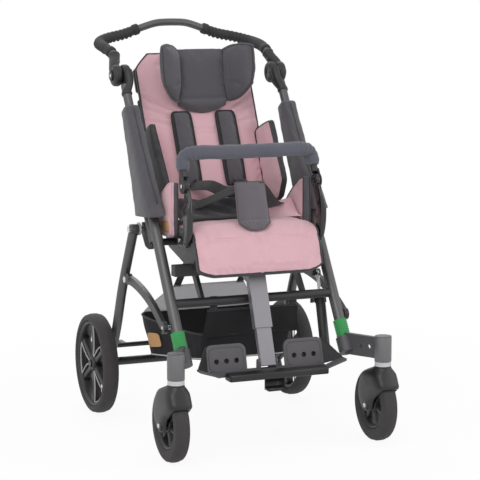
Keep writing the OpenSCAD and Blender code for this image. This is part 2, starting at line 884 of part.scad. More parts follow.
// Spoked rim about the X axis: ring, hub and spokes
module rim(d, w, hub, bore) {
    outer = d / 2 - fit;
    inner = outer - rim_ring_t;
    web = w * rim_web_share;
    difference() {
        union() {
            difference() {
                cross_bar(-w / 2, w, 2 * outer);
                cross_bar(-w / 2 - overrun, w + 2 * overrun, 2 * inner);
            }
            cross_bar(-w / 2, w, hub);
            for (i = [0 : spoke_count - 1]) rotate([360 * i / spoke_count, 0, 0])
                translate([-web / 2, -spoke_w / 2, 0]) cube([web, spoke_w, (inner + outer) / 2]);
        }
        cross_bar(-w, 2 * w, bore);
    }
}
rim_web_share = 0.62;

module caster_tyre(side) {
    color(black) placed() sided(side) translate([caster_x, caster_trail - wheelbase, caster_d / 2])
        tyre(caster_d, caster_tyre_w, caster_rim_d);
}

module caster_rim(side) {
    color(grey) placed() sided(side) translate([caster_x, caster_trail - wheelbase, caster_d / 2])
        rim(caster_rim_d, caster_tyre_w - 2 * tyre_bead, hub_d, axle_d + 2 * gap);
}

module rear_tyre(side) {
    color(black) placed() sided(side) translate([rear_x, 0, axle_z])
        tyre(rear_wheel_d, rear_tyre_w, rear_rim_d);
}

module rear_rim(side) {
    color(grey) placed() sided(side) translate([rear_x, 0, axle_z])
        rim(rear_rim_d, rear_tyre_w - 2 * tyre_bead, rear_hub_d, axle_pin_d + 2 * gap);
}

// Rear frame: legs from the fold pivot down to the axle
leg_way = [leg_y, leg_z - axle_z];
leg_path = smooth([
    [leg_x, leg_way[0] * 1, axle_z + leg_way[1] * 1],
    [leg_x, leg_way[0] * 0.57, axle_z + leg_way[1] * 0.59],
    [leg_x, leg_way[0] * 0.3, axle_z + leg_way[1] * 0.265],
    [leg_x, 0, axle_z]
], 5);

module rear_leg(side) {
    lug = [leg_y + link_rear_v[0], leg_z + link_rear_v[1]];
    color(graphite) placed() sided(side) difference() {
        union() {
            rod_along(leg_path, leg_d / 2, 18, [1, 0, 0]);
            translate([0, leg_y, leg_z]) cross_bar(leg_x - leg_d / 2, leg_d, boss_d);
            translate([0, 0, axle_z]) cross_bar(leg_x - leg_d / 2, leg_d, boss_d);
        }
        translate([0, leg_y, leg_z]) cross_bar(leg_x - leg_d, 2 * leg_d, pin_d + 2 * gap);
        translate([0, 0, axle_z]) cross_bar(leg_x - leg_d, 2 * leg_d, axle_pin_d + 2 * fit);
        translate([0, lug[0], lug[1]]) cross_bar(leg_x - link_t / 2 - fit, link_t + 2 * fit, link_end_d + 2 * fit);
        fold_link_bar(fit);
    }
}

// Light discs on the inner ends of the pivot bosses
module leg_caps() {
    color(light_grey) placed() both() translate([0, leg_y, leg_z]) difference() {
        cross_bar(leg_x - leg_d / 2 - cap_t - fit, cap_t, boss_d - cap_t);
        cross_bar(leg_x - leg_d, leg_d, pin_d + 2 * gap);
    }
}

// Curved bar from the rear leg forward to the hook over the latch pin
link_rear = [leg_y + link_rear_v[0], leg_z + link_rear_v[1]];
link_front = [leg_y + link_front_v[0], leg_z + link_front_v[1]];
link_chord = norm(link_front - link_rear);
link_r = (pow(link_chord / 2, 2) + pow(link_sag, 2)) / (2 * link_sag);
link_dir = unit(link_rear - link_front);
link_centre = (link_front + link_rear) / 2 + (link_r - link_sag) * [link_dir[1], -link_dir[0]];
link_steps = 16;
function angle_of(v) = atan2(v[1], v[0]);
function reversed(p) = [for (i = [len(p) - 1 : -1 : 0]) p[i]];
function link_arc(r) =
    let (from = angle_of(link_front - link_centre), to = angle_of(link_rear - link_centre))
    [for (i = [0 : link_steps])
        let (a = from + (to - from) * i / link_steps)
        link_centre + r * [cos(a), sin(a)]];

module fold_link_bar(room) {
    plate(leg_x - link_t / 2 - room, link_t + 2 * room) {
        polygon(concat(link_arc(link_r + link_w / 2 + room), reversed(link_arc(link_r - link_w / 2 - room))));
        translate(link_rear) circle(d = link_end_d + 2 * room);
    }
}

module fold_links() {
    color(graphite) placed() both() difference() {
        union() {
            fold_link_bar(0);
            plate(leg_x - link_t / 2, link_t) translate(link_front) circle(d = link_end_d);
        }
        translate([0, link_front[0], link_front[1]]) {
            cross_bar(leg_x - link_t, 2 * link_t, latch_d + 2 * gap);
            plate(leg_x - link_t, 2 * link_t)
                rotate(atan2(link_front_v[0], -link_front_v[1]))
                    translate([0, -latch_d / 2 - gap - fit]) square([link_end_d, latch_d + 2 * gap + 2 * fit]);
        }
    }
}

module rear_axle() {
    end = leg_x - leg_d / 2 - fit;
    out = rear_x + rear_tyre_w / 2 - tyre_bead;
    color(graphite) placed() translate([0, 0, axle_z]) difference() {
        union() {
            cross_bar(-end, 2 * end, axle_tube_d);
            cross_bar(-out - gap - axle_head_t, 2 * (out + gap + axle_head_t), axle_pin_d);
            both() cross_bar(out + gap, axle_head_t, axle_head_d + axle_head_t);
            both() plate(brake_lug_x, brake_lug_t) polygon([
                [-axle_tube_d / 2, 0], [axle_tube_d / 2, 0],
                [brake_y + brake_d, brake_z + brake_d], [brake_y - brake_d, brake_z + brake_d]
            ]);
        }
        translate([0, brake_y, brake_z]) cross_bar(-end, 2 * end, brake_d + 2 * gap);
    }
}

// Brake bar with a dog at each end and a pedal in the middle
module brake_bar() {
    end = leg_x - leg_d / 2 - gap - brake_d;
    color(black) placed() translate([0, brake_y, axle_z + brake_z]) {
        cross_bar(-end, 2 * end, brake_d);
        both() plate(end - 2 * brake_d, brake_d) polygon([
            [0, -brake_d / 2], [0, brake_d / 2], [brake_arm * 0.6, brake_d / 2], [brake_arm * 0.6, -brake_d / 2]
        ]);
        plate(-pedal_w / 2, pedal_w) polygon([
            [0, -brake_d / 2], [0, brake_d / 2], [pedal_len, -pedal_t / 2], [pedal_len, -pedal_t * 1.5]
        ]);
    }
}

// Seat unit
module seat_frame() {
    color(black) placed() seat_place() {
        difference() {
            union() {
                both() plate(rail_x, rail_t) {
                    polygon([
                        [bar_y - bar_s / 2, bar_z], [bar_y + bar_s / 2, bar_z], [hinge_y / 2, -pivot_d],
                        [hinge_y + hinge_boss_d / 2, hinge_z], [hinge_y, hinge_z + hinge_boss_d / 2],
                        [board_rear + fit, board_top], [board_rear + fit, board_top - board_t - fit],
                        [board_front, board_top - board_t - fit]
                    ]);
                    circle(d = 2 * pivot_d);
                    translate([hinge_y, hinge_z]) circle(d = hinge_boss_d);
                }
                translate([-bar_len / 2, bar_y - bar_s / 2, bar_z - bar_s / 2]) cube([bar_len, bar_s, bar_s]);
                strut_clevis();
            }
            cross_bar(-seat_w, 2 * seat_w, pivot_d + 2 * gap);
            translate([0, hinge_y, hinge_z]) cross_bar(-seat_w, 2 * seat_w, hinge_d + 2 * fit);
        }
    }
}

// Ear and pin under the bar for the strut's top eye
module strut_clevis() {
    ear_x = strut_x - strut_rod_d - post_t;
    plate(ear_x, post_t) polygon([
        [bar_y - bar_s / 2, bar_z], [bar_y + bar_s / 2, bar_z],
        [strut_eye_y + strut_pin_d, strut_eye_z - strut_pin_d],
        [strut_eye_y - strut_pin_d, strut_eye_z - strut_pin_d]
    ]);
    translate([0, strut_eye_y, strut_eye_z]) cross_bar(ear_x, post_t + strut_rod_d * 1.3, strut_pin_d);
}

module strut_axis() {
    seat_place() translate([strut_x, strut_head_y, strut_head_z])
        rotate([-atan2(strut_eye_y - strut_head_y, strut_eye_z - strut_head_z), 0, 0]) children();
}
strut_reach = norm([strut_eye_y - strut_head_y, strut_eye_z - strut_head_z]);

module strut_cylinder() {
    color(black) placed() strut_axis() difference() {
        union() {
            translate([0, 0, -strut_len]) cylinder(h = strut_len, d = strut_d);
            translate([0, 0, -strut_collar_h / 2]) cylinder(h = strut_collar_h, d = strut_collar_d);
            cross_bar(-strut_collar_d / 2 - post_t - gap, strut_collar_d / 2 + post_t + gap, trunnion_d);
        }
        translate([0, 0, -strut_len + strut_collar_h]) cylinder(h = 2 * strut_len, d = strut_rod_d + 2 * gap);
    }
}

module strut_rod() {
    color(silver) placed() strut_axis() difference() {
        union() {
            translate([0, 0, -strut_len + 2 * strut_collar_h])
                cylinder(h = strut_reach - strut_eye_d / 2 + strut_len - strut_collar_h, d = strut_rod_d);
            translate([0, 0, strut_reach]) cross_bar(-strut_rod_d / 2, strut_rod_d, strut_eye_d);
        }
        translate([0, 0, strut_reach]) cross_bar(-strut_rod_d, 2 * strut_rod_d, strut_eye_hole);
    }
}

module seat_base() {
    color(black) placed() seat_place()
        translate([-seat_w / 2, board_front, board_top - board_t]) cube([seat_w, seat_depth, board_t]);
}

// Seat pad: one cushion from the back of the seat over the front edge and down as a calf panel
seat_path = smooth([
    [board_rear - seat_pad_t, board_top + gap],
    [(board_front + board_rear) / 2, board_top + gap],
    [board_front + board_t * 0.4, board_top + 5 * gap],
    [board_front - seat_pad_t * 0.5, board_top - seat_pad_t * 0.3],
    [post_top_y - seat_pad_t * 0.75, post_top_z + seat_pad_t * 0.6],
    [post_top_y - seat_pad_t * 1.15, post_top_z - seat_pad_t * 0.1]
], 4);
seat_pad_half = seat_w / 2 - seat_inset;
hip_x = seat_pad_half + gap;
calf_corner_share = 0.26;
seam_depth = 4;

module seat_pad() {
    last = len(seat_path) - 1;
    place = function (u, v, s)
        let (
            i = round((v + 1) / 2 * last),
            p = seat_path[i],
            h = heading(seat_path, i),
            n = [h[1], -h[0]],
            t = i / last,
            narrow = 1 - calf_corner_share * pow(max(t - 0.86, 0) / 0.14, 1.5),
            thick = seat_pad_t * (1 - 0.3 * t),
            rise = s < 0 ? 0 : thick * (rim_share + (1 - rim_share) * crown(u, v)),
            groove = s > 0 && abs(u) < 0.05 && t > 0.4 && t < 0.95 ? seam_depth : 0,
            q = p + n * (rise - groove)
        )
        [-seat_pad_half * narrow * u, q[0], q[1]];
    color(pink) placed() seat_place() pad(12, last, place);
}

// Hip pads, whose upper edge falls towards the back
module hip_pads() {
    place = function (u, v, s)
        let (q = cushion(hip_len, hip_h, hip_t)(u, v, s), fall = hip_slope_share * pow((u + 1) / 2, 1.3))
        [q[0], q[1] - (q[1] + hip_h / 2) * fall, q[2]];
    color(pink) placed() both() seat_place()
        translate([hip_x, hip_y, hip_z]) rotate([90, 0, 90]) pad(8, 8, place);
}

// Curved bumper holders bolted to the edges of the seat board
module side_plates() {
    run = [plate_bolt_y - plate_low_y, plate_bolt_z - board_top + board_t];
    r = norm(run) * 0.9;
    a = unit(run);
    mid = ([plate_low_y, board_top - board_t] + [plate_bolt_y, plate_bolt_z]) / 2;
    centre = mid + sqrt(pow(r, 2) - pow(norm(run) / 2, 2)) * [a[1], -a[0]];
    color(black) placed() both() seat_place() difference() {
        plate(plate_x, plate_t) {
            intersection() {
                translate(centre) difference() {
                    circle(r = r + plate_w / 2, $fn = 120);
                    circle(r = r - plate_w / 2, $fn = 120);
                }
                polygon([centre, centre + 2 * ([plate_low_y, board_top - board_t] - centre),
                    centre + 2 * ([plate_bolt_y, plate_bolt_z] - centre)]);
            }
            translate([plate_bolt_y, plate_bolt_z]) circle(d = plate_w);
            translate([plate_low_y, board_top - board_t - plate_w / 4]) square([plate_w * 1.4, plate_w * 0.7]);
        }
        translate([0, plate_bolt_y, plate_bolt_z])
            cross_bar(plate_x - overrun, plate_t + 2 * overrun, hinge_d + 2 * gap);
    }
}

module crotch_pad() {
    color(charcoal) placed() seat_place() translate([0, crotch_low_y, crotch_low_z])
        rotate([90 - crotch_lean, 0, 0]) translate([0, crotch_len / 2, 0])
            pad(6, 8, cushion(crotch_w, crotch_len, crotch_t));
}

module buckle() {
    color(black) placed() seat_place() translate([0, crotch_low_y, crotch_low_z])
        rotate([90 - crotch_lean, 0, 0])
            translate([-buckle_w / 2, crotch_len - buckle_h, -buckle_t - gap]) cube([buckle_w, buckle_h, buckle_t]);
}

// Webbing from the buckle out to the hips
module lap_straps() {
    up = (crotch_len - buckle_h / 2) * [0, sin(crotch_lean), cos(crotch_lean)];
    behind = (strap_r + 3 * gap) * [0, cos(crotch_lean), -sin(crotch_lean)];
    from = [buckle_w / 2 + gap, crotch_low_y, crotch_low_z] + up + behind;
    to = [hip_x - gap, hip_y + hip_len / 8, hip_z - hip_h / 6];
    sag = [0, 0, buckle_h / 4];
    out = [buckle_t, 0, 0];
    color(black) placed() both() seat_place() rod_along(
        concat([from], smooth([from + out, (from + to) / 2 - sag, to - out], 4), [to]), strap_r, 8, [0, 0, 1]);
}
strap_r = 7;

module hinge_pins() {
    color(silver) placed() both() seat_place() translate([0, hinge_y, hinge_z])
        cross_bar(rail_x - lug_t - 2 * gap, rail_t + lug_t + 2 * gap, hinge_d);
}

// Bumper bar: a straight run with both ends turned down to the holders' bolts
bumper_half = smooth([
    [bumper_x, plate_bolt_y + 0.12 * bumper_bend, plate_bolt_z + plate_w / 2 + 6 * gap],
    [bumper_x, (bumper_y + plate_bolt_y) / 2, bumper_z - bumper_bend],
    [bumper_x - bumper_bend * 0.12, bumper_y - bumper_bow * 0.2, bumper_z - bumper_bend * 0.3],
    [bumper_x - bumper_bend * 0.75, bumper_y - bumper_bow * 0.6, bumper_z],
    [bumper_x * 0.4, bumper_y - bumper_bow * 0.9, bumper_z],
    [0, bumper_y - bumper_bow, bumper_z]
], 3);
bumper_path = concat(
    bumper_half,
    [for (i = [len(bumper_half) - 2 : -1 : 0]) [-bumper_half[i][0], bumper_half[i][1], bumper_half[i][2]]]
);

// The lug on each bolt reaches up beside the tube
bumper_lug = [bumper_half[2][1], bumper_half[2][2]];
module bumper_tube() {
    color(graphite) placed() seat_place() {
        rod_along(bumper_path, bumper_d / 2, 12, [0, 1, 0]);
        both() translate([0, plate_bolt_y, plate_bolt_z]) {
            cross_bar(plate_x - fit, plate_t + pin_head_t + gap, hinge_d);
            cross_bar(plate_x + plate_t + gap, pin_head_t, plate_w);
        }
        both() plate(plate_x + plate_t + gap, pin_head_t) polygon([
            [plate_bolt_y - plate_w / 2, plate_bolt_z], [plate_bolt_y + plate_w / 2, plate_bolt_z],
            bumper_lug + [bumper_d / 2, 0], bumper_lug - [bumper_d / 2, 0]
        ]);
    }
}

module bumper_cover() {
    skip = 3;
    path = [for (i = [skip : len(bumper_path) - 1 - skip]) bumper_path[i]];
    color(charcoal) placed() seat_place()
        hose_along(path, bumper_cover_d / 2, bumper_d / 2 + fit, 12, [0, 1, 0]);
}

// Backrest
shell_outline_shares = [
    [0.5, 0.04], [0.5, 0.72], [0.46, 0.751], [0.5, 0.78], [0.5, 0.903], [0.38, 0.985], [0.3, 1], [0.17, 1],
    [0.14, 0.945]
];
// Height of the dip in the middle of the shell's top, where the headrest stem crosses it
saddle_share = 0.945;
saddle_z = back_h * saddle_share;
module back_shell() {
    points = [for (p = shell_outline_shares) [p[0] * back_w, p[1] * back_h]];
    color(black) placed() back_place() difference() {
        union() {
            translate([0, shell_back, 0]) rotate([90, 0, 0]) linear_extrude(shell_t)
                polygon(concat(points, [for (i = [len(points) - 1 : -1 : 0]) [-points[i][0], points[i][1]]]));
            both() plate(rail_x - lug_t - gap, lug_t) {
                circle(d = hinge_boss_d);
                polygon([[-hinge_boss_d / 2, 0], [shell_back, -hinge_d], [shell_back, back_h * 0.12],
                    [shell_back - shell_t, back_h * 0.12]]);
            }
            translate([-head_stem_w / 2 - shell_t, shell_back, head_stem_low])
                cube([head_stem_w + 2 * shell_t, head_stem_t + shell_t, head_slot_room]);
        }
        cross_bar(-back_w, 2 * back_w, hinge_d + 2 * gap);
        translate([-head_stem_w / 2 - gap, shell_back - overrun / 10 + fit, head_stem_low - overrun])
            cube([head_stem_w + 2 * gap, head_stem_t + 2 * gap, head_slot_room + 2 * overrun]);
    }
}

back_pad_low = 46;
module back_pad() {
    long = back_h * 0.97 - back_pad_low;
    color(pink) placed() back_place() translate([0, shell_back - shell_t - fit, back_pad_low + long / 2])
        rotate([90, 0, 0]) pad(10, 14, back_cushion(long, back_pad_t));
}
// Half width of the back pad: narrow between the wings, wide over them, with cut upper corners
back_corner = 44;
function back_half(z, top) =
    let (
        low = rail_x - lug_t - 3 * gap,
        high = wing_in + wing_t * 0.85,
        flare = min(1, max(0, (z - wing_high) / wing_t - 0.5)),
        cut = max(0, 1 - (top - z) / back_corner)
    )
    low + (high - low) * flare - back_corner * cut;
channel_share = 0.5;
function back_cushion(l, t) = function (u, v, s)
    let (
        q = cushion(2 * back_half(back_pad_low + l * (v + 1) / 2, back_pad_low + l), l, t)(u, v, s),
        groove = s > 0 && abs(v - channel_share) < 0.08 ? seam_depth : 0,
        dip = min(1, max(0, pad_dip_shares[1] - abs(u)) / (pad_dip_shares[1] - pad_dip_shares[0])) * max(0, v)
    )
    [q[0], q[1] - dip * (back_h - saddle_z), q[2] - groove];
pad_dip_shares = [0.4, 0.65];

// Padded wings that reach forward from the edges of the shell
module back_wings() {
    low = wing_low;
    high = wing_high;
    place = function (u, v, s)
        let (
            t = (v + 1) / 2,
            z = low + (high - low) * t,
            reach = min(wing_low_reach + (wing_high_reach - wing_low_reach) * t,
                wing_foot_reach + (wing_low_reach - wing_foot_reach) * t / wing_foot_share),
            y = shell_back - shell_t - fit - reach * (u + 1) / 2,
            thick = wing_t * (rim_share + (1 - rim_share) * crown(u, v))
        )
        [
            wing_in + wing_t + wing_flare * (u + 1) / 2 - (s < 0 ? 0 : thick),
            y,
            z + seam_depth * drawn(v, u) * (1 - pow(u, 2))
        ];
    color(pink) placed() both() back_place() pad(8, 10, place);
}

module shoulder_pads() {
    color(charcoal) placed() both() back_place()
        translate([shoulder_x, shell_back - shell_t - back_pad_t - 2 * gap, shoulder_low + shoulder_len / 2])
            rotate([90, 0, 0]) pad(6, 10, cushion(shoulder_w, shoulder_len, shoulder_t));
}

// Headrest: plate with a stem that slides in the shell's guide, and one pad with a wing each side
module headrest_plate() {
    color(black) placed() {
        head_place() translate([-head_w / 2, -head_plate_y, head_h * 0.1])
            cube([head_w, head_plate_t, head_h * 0.8]);
        back_place() {
            translate([-head_stem_w / 2, shell_back + gap + fit, head_stem_low + gap])
                cube([head_stem_w, head_stem_t - gap, saddle_z + head_stem_t * 2 - head_stem_low - gap]);
            translate([-head_stem_w / 2, -head_over, saddle_z + head_stem_t])
                cube([head_stem_w, head_over + shell_back + fit + head_stem_t, head_stem_t]);
            translate([-head_stem_w / 2, -head_over, head_low + head_h * head_tongue_share])
                cube([head_stem_w, head_stem_t, saddle_z + 2 * head_stem_t - head_low - head_h * head_tongue_share]);
        }
    }
}
head_plate_y = 28;
head_over = 46;
head_tongue_share = 0.39;

module headrest_pad() {
    turn = head_wing_angle;
    place = function (u, v, s)
        let (
            span = head_w / 2 + head_wing,
            a = u * span,
            out = max(abs(a) - head_w / 2, 0),
            x = sign(a) * (min(abs(a), head_w / 2) + out * cos(turn)),
            y = -out * sin(turn),
            thick = head_t * (rim_share + (1 - rim_share) * crown(u, v))
                - (s > 0 && abs(abs(u) - head_seam_share) < 0.04 ? seam_depth : 0)
        )
        s < 0 ? [x, y - head_plate_y - fit, v * head_h / 2]
              : [x - sign(a) * (out > 0 ? thick * sin(turn) : 0),
                 y - head_plate_y - fit - thick * (out > 0 ? cos(turn) : 1), v * head_h / 2];
    color(charcoal) placed() head_place() translate([0, 0, head_h / 2]) pad(16, 8, place);
}
head_seam_share = 0.44;

// Foot post and footplate
module foot_post_outer() {
    w = foot_post_w;
    d = post_depth;
    color(silver) placed() {
        post_place() difference() {
            translate([-w / 2, -d / 2, 0]) cube([w, d, post_outer_len]);
            translate([-w / 2 + post_wall, -d / 2 + post_wall, post_wall])
                cube([w - 2 * post_wall, d - 2 * post_wall, post_outer_len]);
        }
        seat_place() plate(-w / 2, w) polygon([
            [bar_y - bar_s / 2 - fit, bar_z + bar_s / 2], [bar_y - bar_s / 2 - fit, bar_z - bar_s / 2],
            [post_top_y + d * 0.3, post_top_z - d * 1.2], [post_top_y + d * 0.5, post_top_z + d * 0.16]
        ]);
    }
}

module foot_post_inner() {
    w = foot_post_w - 2 * post_wall - 2 * gap;
    d = post_depth - 2 * post_wall - 2 * gap;
    color(silver) placed() post_place() difference() {
        translate([-w / 2, -d / 2, post_outer_len - post_inner_in])
            cube([w, d, foot_post_len - post_outer_len + post_inner_in + foot_pin_d]);
        translate([0, 0, foot_post_len]) cross_bar(-w, 2 * w, foot_pin_d + 2 * gap);
    }
}

// Tray with a hinge pin through the post, raised wings and two heel guards
tray_drop = foot_pin_d * 1.6;
module foot_place() {
    post_place() translate([0, 0, foot_post_len]) rotate([post_lean - 180, 0, 0]) children();
}

module footplate() {
    half = footplate_w / 2;
    low = -tray_drop - plate_thick;
    post_side = foot_post_w / 2 - post_wall;
    color(grey) placed() foot_place() {
        difference() {
            translate([-half, -tray_len, low]) cube([footplate_w, tray_len + foot_pin_d, plate_thick]);
            for (x = [-1, 1]) translate([x * half / 2, -tray_len / 2, low - overrun])
                cylinder(h = plate_thick + 2 * overrun, d = heel_hole_d);
        }
        both() translate([0, -tray_len / 2, 0]) rotate([90, 0, 0]) linear_extrude(tray_wing_len) polygon([
            [half - plate_thick, low], [half, low + plate_thick],
            [half + tray_wing, low + plate_thick + tray_wing_rise], [half + tray_wing, low + tray_wing_rise]
        ]);
        both() plate(post_side + gap, plate_thick) {
            circle(d = 2 * foot_pin_d);
            translate([-foot_pin_d, low]) square([2 * foot_pin_d, -low]);
        }
        cross_bar(-post_side - 2 * gap, 2 * (post_side + 2 * gap), foot_pin_d);
        both() translate([heel_gap, foot_pin_d, low]) rotate([90 - heel_lean, 0, 0]) linear_extrude(plate_thick)
            difference() {
                union() {
                    square([heel_w, heel_h - heel_corner]);
                    translate([heel_corner, 0]) square([heel_w - 2 * heel_corner, heel_h]);
                    for (x = [heel_corner, heel_w - heel_corner]) translate([x, heel_h - heel_corner])
                        circle(r = heel_corner);
                }
                for (i = [1 : heel_holes]) translate([heel_w * i / (heel_holes + 1), heel_h * heel_hole_share])
                    circle(d = heel_hole_d);
            }
    }
}

module foot_board() {
    top = -tray_drop - plate_thick + board_h * 0.7;
    color(black) placed() foot_place() translate([0, -tray_len - fit - board_len, top - board_h]) {
        translate([-board_w / 2, 0, 0]) cube([board_w, board_len, board_h]);
        translate([-hook_w / 2, board_len - hook_t, -hook_h]) cube([hook_w, hook_t, hook_h]);
        translate([-hook_w / 2, board_len - hook_len, -hook_h]) cube([hook_w, hook_len, hook_t]);
    }
}

front_tube(-1);  // front_tube_left
front_tube(1);  // front_tube_right
handle_tubes();
fold_rails();
fold_brackets();
frame_pins();
lower_cross_tube();
seat_posts();
seat_pivot_tube();
caster_arm(-1);  // caster_arm_left
caster_arm(1);  // caster_arm_right
bearing_rings();
suspension_sleeves();
joint_bases();
tube_sleeves();
basket();
handle_bar();
grips();
joint_caps();
button(-1);  // button_left
button(1);  // button_right
caster_fork(-1);  // caster_fork_left
caster_fork(1);  // caster_fork_right
caster_tyre(-1);  // caster_tyre_left
caster_tyre(1);  // caster_tyre_right
caster_rim(-1);  // caster_rim_left
caster_rim(1);  // caster_rim_right
rear_leg(-1);  // rear_leg_left
rear_leg(1);  // rear_leg_right
leg_caps();
fold_links();
rear_axle();
brake_bar();
rear_tyre(-1);  // rear_tyre_left
rear_tyre(1);  // rear_tyre_right
rear_rim(-1);  // rear_rim_left
rear_rim(1);  // rear_rim_right
seat_frame();
seat_base();
seat_pad();
hip_pads();
side_plates();
crotch_pad();
buckle();
lap_straps();
hinge_pins();
strut_cylinder();
strut_rod();
bumper_tube();
bumper_cover();
back_shell();
back_pad();
back_wings();
shoulder_pads();
headrest_plate();
headrest_pad();
foot_post_outer();
foot_post_inner();
footplate();
foot_board();
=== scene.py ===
"""Looks of a special needs buggy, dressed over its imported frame."""
from math import acos, atan2, copysign, cos, exp, pi, radians, sin, sqrt

import bmesh
import bpy
import numpy as np
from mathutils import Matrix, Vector


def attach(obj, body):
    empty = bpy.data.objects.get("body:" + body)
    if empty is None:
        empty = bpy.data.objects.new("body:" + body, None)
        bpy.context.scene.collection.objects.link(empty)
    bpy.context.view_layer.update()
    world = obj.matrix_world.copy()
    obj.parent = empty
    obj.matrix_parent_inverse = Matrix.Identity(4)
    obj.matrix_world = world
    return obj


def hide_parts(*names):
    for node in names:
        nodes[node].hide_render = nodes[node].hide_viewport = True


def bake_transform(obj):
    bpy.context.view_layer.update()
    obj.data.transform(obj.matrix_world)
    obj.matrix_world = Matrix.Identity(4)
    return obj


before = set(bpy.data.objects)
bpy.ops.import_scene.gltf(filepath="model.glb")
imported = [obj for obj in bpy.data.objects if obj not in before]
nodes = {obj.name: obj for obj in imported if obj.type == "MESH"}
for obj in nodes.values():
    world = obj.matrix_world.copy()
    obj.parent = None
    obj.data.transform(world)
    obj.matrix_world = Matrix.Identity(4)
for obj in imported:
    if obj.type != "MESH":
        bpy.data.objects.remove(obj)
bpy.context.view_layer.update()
scene = bpy.context.scene
scene.view_settings.view_transform = "Standard"

SIDES = ((-1, "left"), (1, "right"))
UP = Vector((0, 0, 1))

# Places and sizes of the frame in millimetres: x from the middle, y from the rear axle, z from the floor
SHIFT = 245.243
SEAT_PIVOT = (-261.482, 531.231)
BACK_HINGE = (-177.482, 573.231)
JOINT = (-42.986, 982.878)
LEG_PIVOT = (-228.756, 567.245)
TUBE_FOOT = (-530.0, 264.1)
TREAD_HINGE = (-544.461, 231.547)
TUBE_SLOPE = radians(57.2)
BACK_LEAN = radians(65)
HEAD_TILT = radians(18)
HEAD_LOW = 338
TUBE_X = 240
LEG_X = 268
REAR_X = 307
REAR_R = 145
REAR_W = 46
CASTER_X = 300
CASTER_Y = -642
CASTER_R = 100
CASTER_W = 40
CASTER_TRAIL = 40
# Bolt of the bumper bar, from the seat pivot
BUMPER_BOLT = (-172, 174)
# Middle of a shoulder pad, and the gap between a pad and what it rests on
SHOULDER_X = 68
PAD_FIT = 0.4


def at(x, y, z):
    return Vector((x, y + SHIFT, z)) / 1000


def seat_at(x, y, z):
    return at(x, SEAT_PIVOT[0] + y, SEAT_PIVOT[1] + z)


def foot_at(x, y, z):
    return at(x, TREAD_HINGE[0] + y, TREAD_HINGE[1] + z)


# A place on the backrest: n behind its face line, s up along it
def back_at(x, n, s):
    y = BACK_HINGE[0] + n * sin(BACK_LEAN) + s * cos(BACK_LEAN)
    z = BACK_HINGE[1] - n * cos(BACK_LEAN) + s * sin(BACK_LEAN)
    return at(x, y, z)


def head_at(x, y, z):
    n = y * cos(HEAD_TILT) - z * sin(HEAD_TILT)
    s = HEAD_LOW + y * sin(HEAD_TILT) + z * cos(HEAD_TILT)
    return back_at(x, n, s)


# A place on a front tube: v behind its axis, u up along it
def tube_at(x, v, u):
    y = TUBE_FOOT[0] + u * cos(TUBE_SLOPE) + v * sin(TUBE_SLOPE)
    z = TUBE_FOOT[1] + u * sin(TUBE_SLOPE) - v * cos(TUBE_SLOPE)
    return at(x, y, z)


def clamp(value, low, high):
    return max(low, min(high, value))


def mix(a, b, t):
    return a + (b - a) * t


def ease(t):
    t = clamp(t, 0.0, 1.0)
    return t * t * (3 - 2 * t)


def bell(d, width):
    return exp(-(d / width) ** 2)


# One in the middle of a sheet, falling to nothing at its edges
def crown(u, v, power_u, power_v):
    return (1 - abs(u) ** power_u) * (1 - abs(v) ** power_v)


def turns(count):
    return [2 * pi * k / count for k in range(count)]


# Cosine and sine of an angle, drawn out towards the corners of a square
def squared(angle, power):
    c = cos(angle)
    s = sin(angle)
    return copysign(abs(c) ** power, c), copysign(abs(s) ** power, s)


def both(maker):
    for side, name in SIDES:
        maker(side, name)


# Camera at the photograph's viewing angle
def make_camera():
    data = bpy.data.cameras.new("camera")
    data.sensor_width = 36
    data.lens = 136.6
    data.clip_end = 50
    cam = bpy.data.objects.new("camera", data)
    scene.collection.objects.link(cam)
    place = Vector((-1.9159, -4.7255, 1.2742))
    target = Vector((0.146, 0.2452, 0.482))
    cam.location = place
    cam.rotation_euler = (target - place).to_track_quat("-Z", "Y").to_euler()
    scene.camera = cam


make_camera()


# Mesh helpers
def add_mesh(name, verts, faces, mats, index=None, smooth=True):
    mesh = bpy.data.meshes.new(name)
    mesh.from_pydata([tuple(v) for v in verts], [], [tuple(f) for f in faces])
    for m in mats if isinstance(mats, (list, tuple)) else [mats]:
        mesh.materials.append(m)
    if index is not None:
        mesh.polygons.foreach_set("material_index", np.array(index, np.int32))
    mesh.polygons.foreach_set("use_smooth", np.full(len(mesh.polygons), smooth))
    bm = bmesh.new()
    bm.from_mesh(mesh)
    bmesh.ops.recalc_face_normals(bm, faces=bm.faces)
    bm.to_mesh(mesh)
    bm.free()
    obj = bpy.data.objects.new(name, mesh)
    scene.collection.objects.link(obj)
    return obj


def finish_piece(obj, body, replaced=(), subdivide=0):
    if subdivide:
        mod = obj.modifiers.new("Subdivision", "SUBSURF")
        mod.levels = subdivide
        mod.render_levels = subdivide
    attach(obj, body)
    if replaced:
        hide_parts(*replaced)


def finish_pad(pad, body, replaced, subdivide=1):
    finish_piece(pad, body, replaced, subdivide)


def thicken(obj, thick, offset):
    mod = obj.modifiers.new("Thick", "SOLIDIFY")
    mod.thickness = thick
    mod.offset = offset


def join(name, objs):
    bpy.ops.object.select_all(action="DESELECT")
    for o in objs:
        o.select_set(True)
    bpy.context.view_layer.objects.active = objs[0]
    bpy.ops.object.join()
    objs[0].name = name
    return objs[0]


def mirrored(points):
    return [Vector((-p[0], p[1], p[2])) for p in points]


# Half a path and its mirror image, in one run
def whole_path(half):
    return half + mirrored(half[-2::-1])


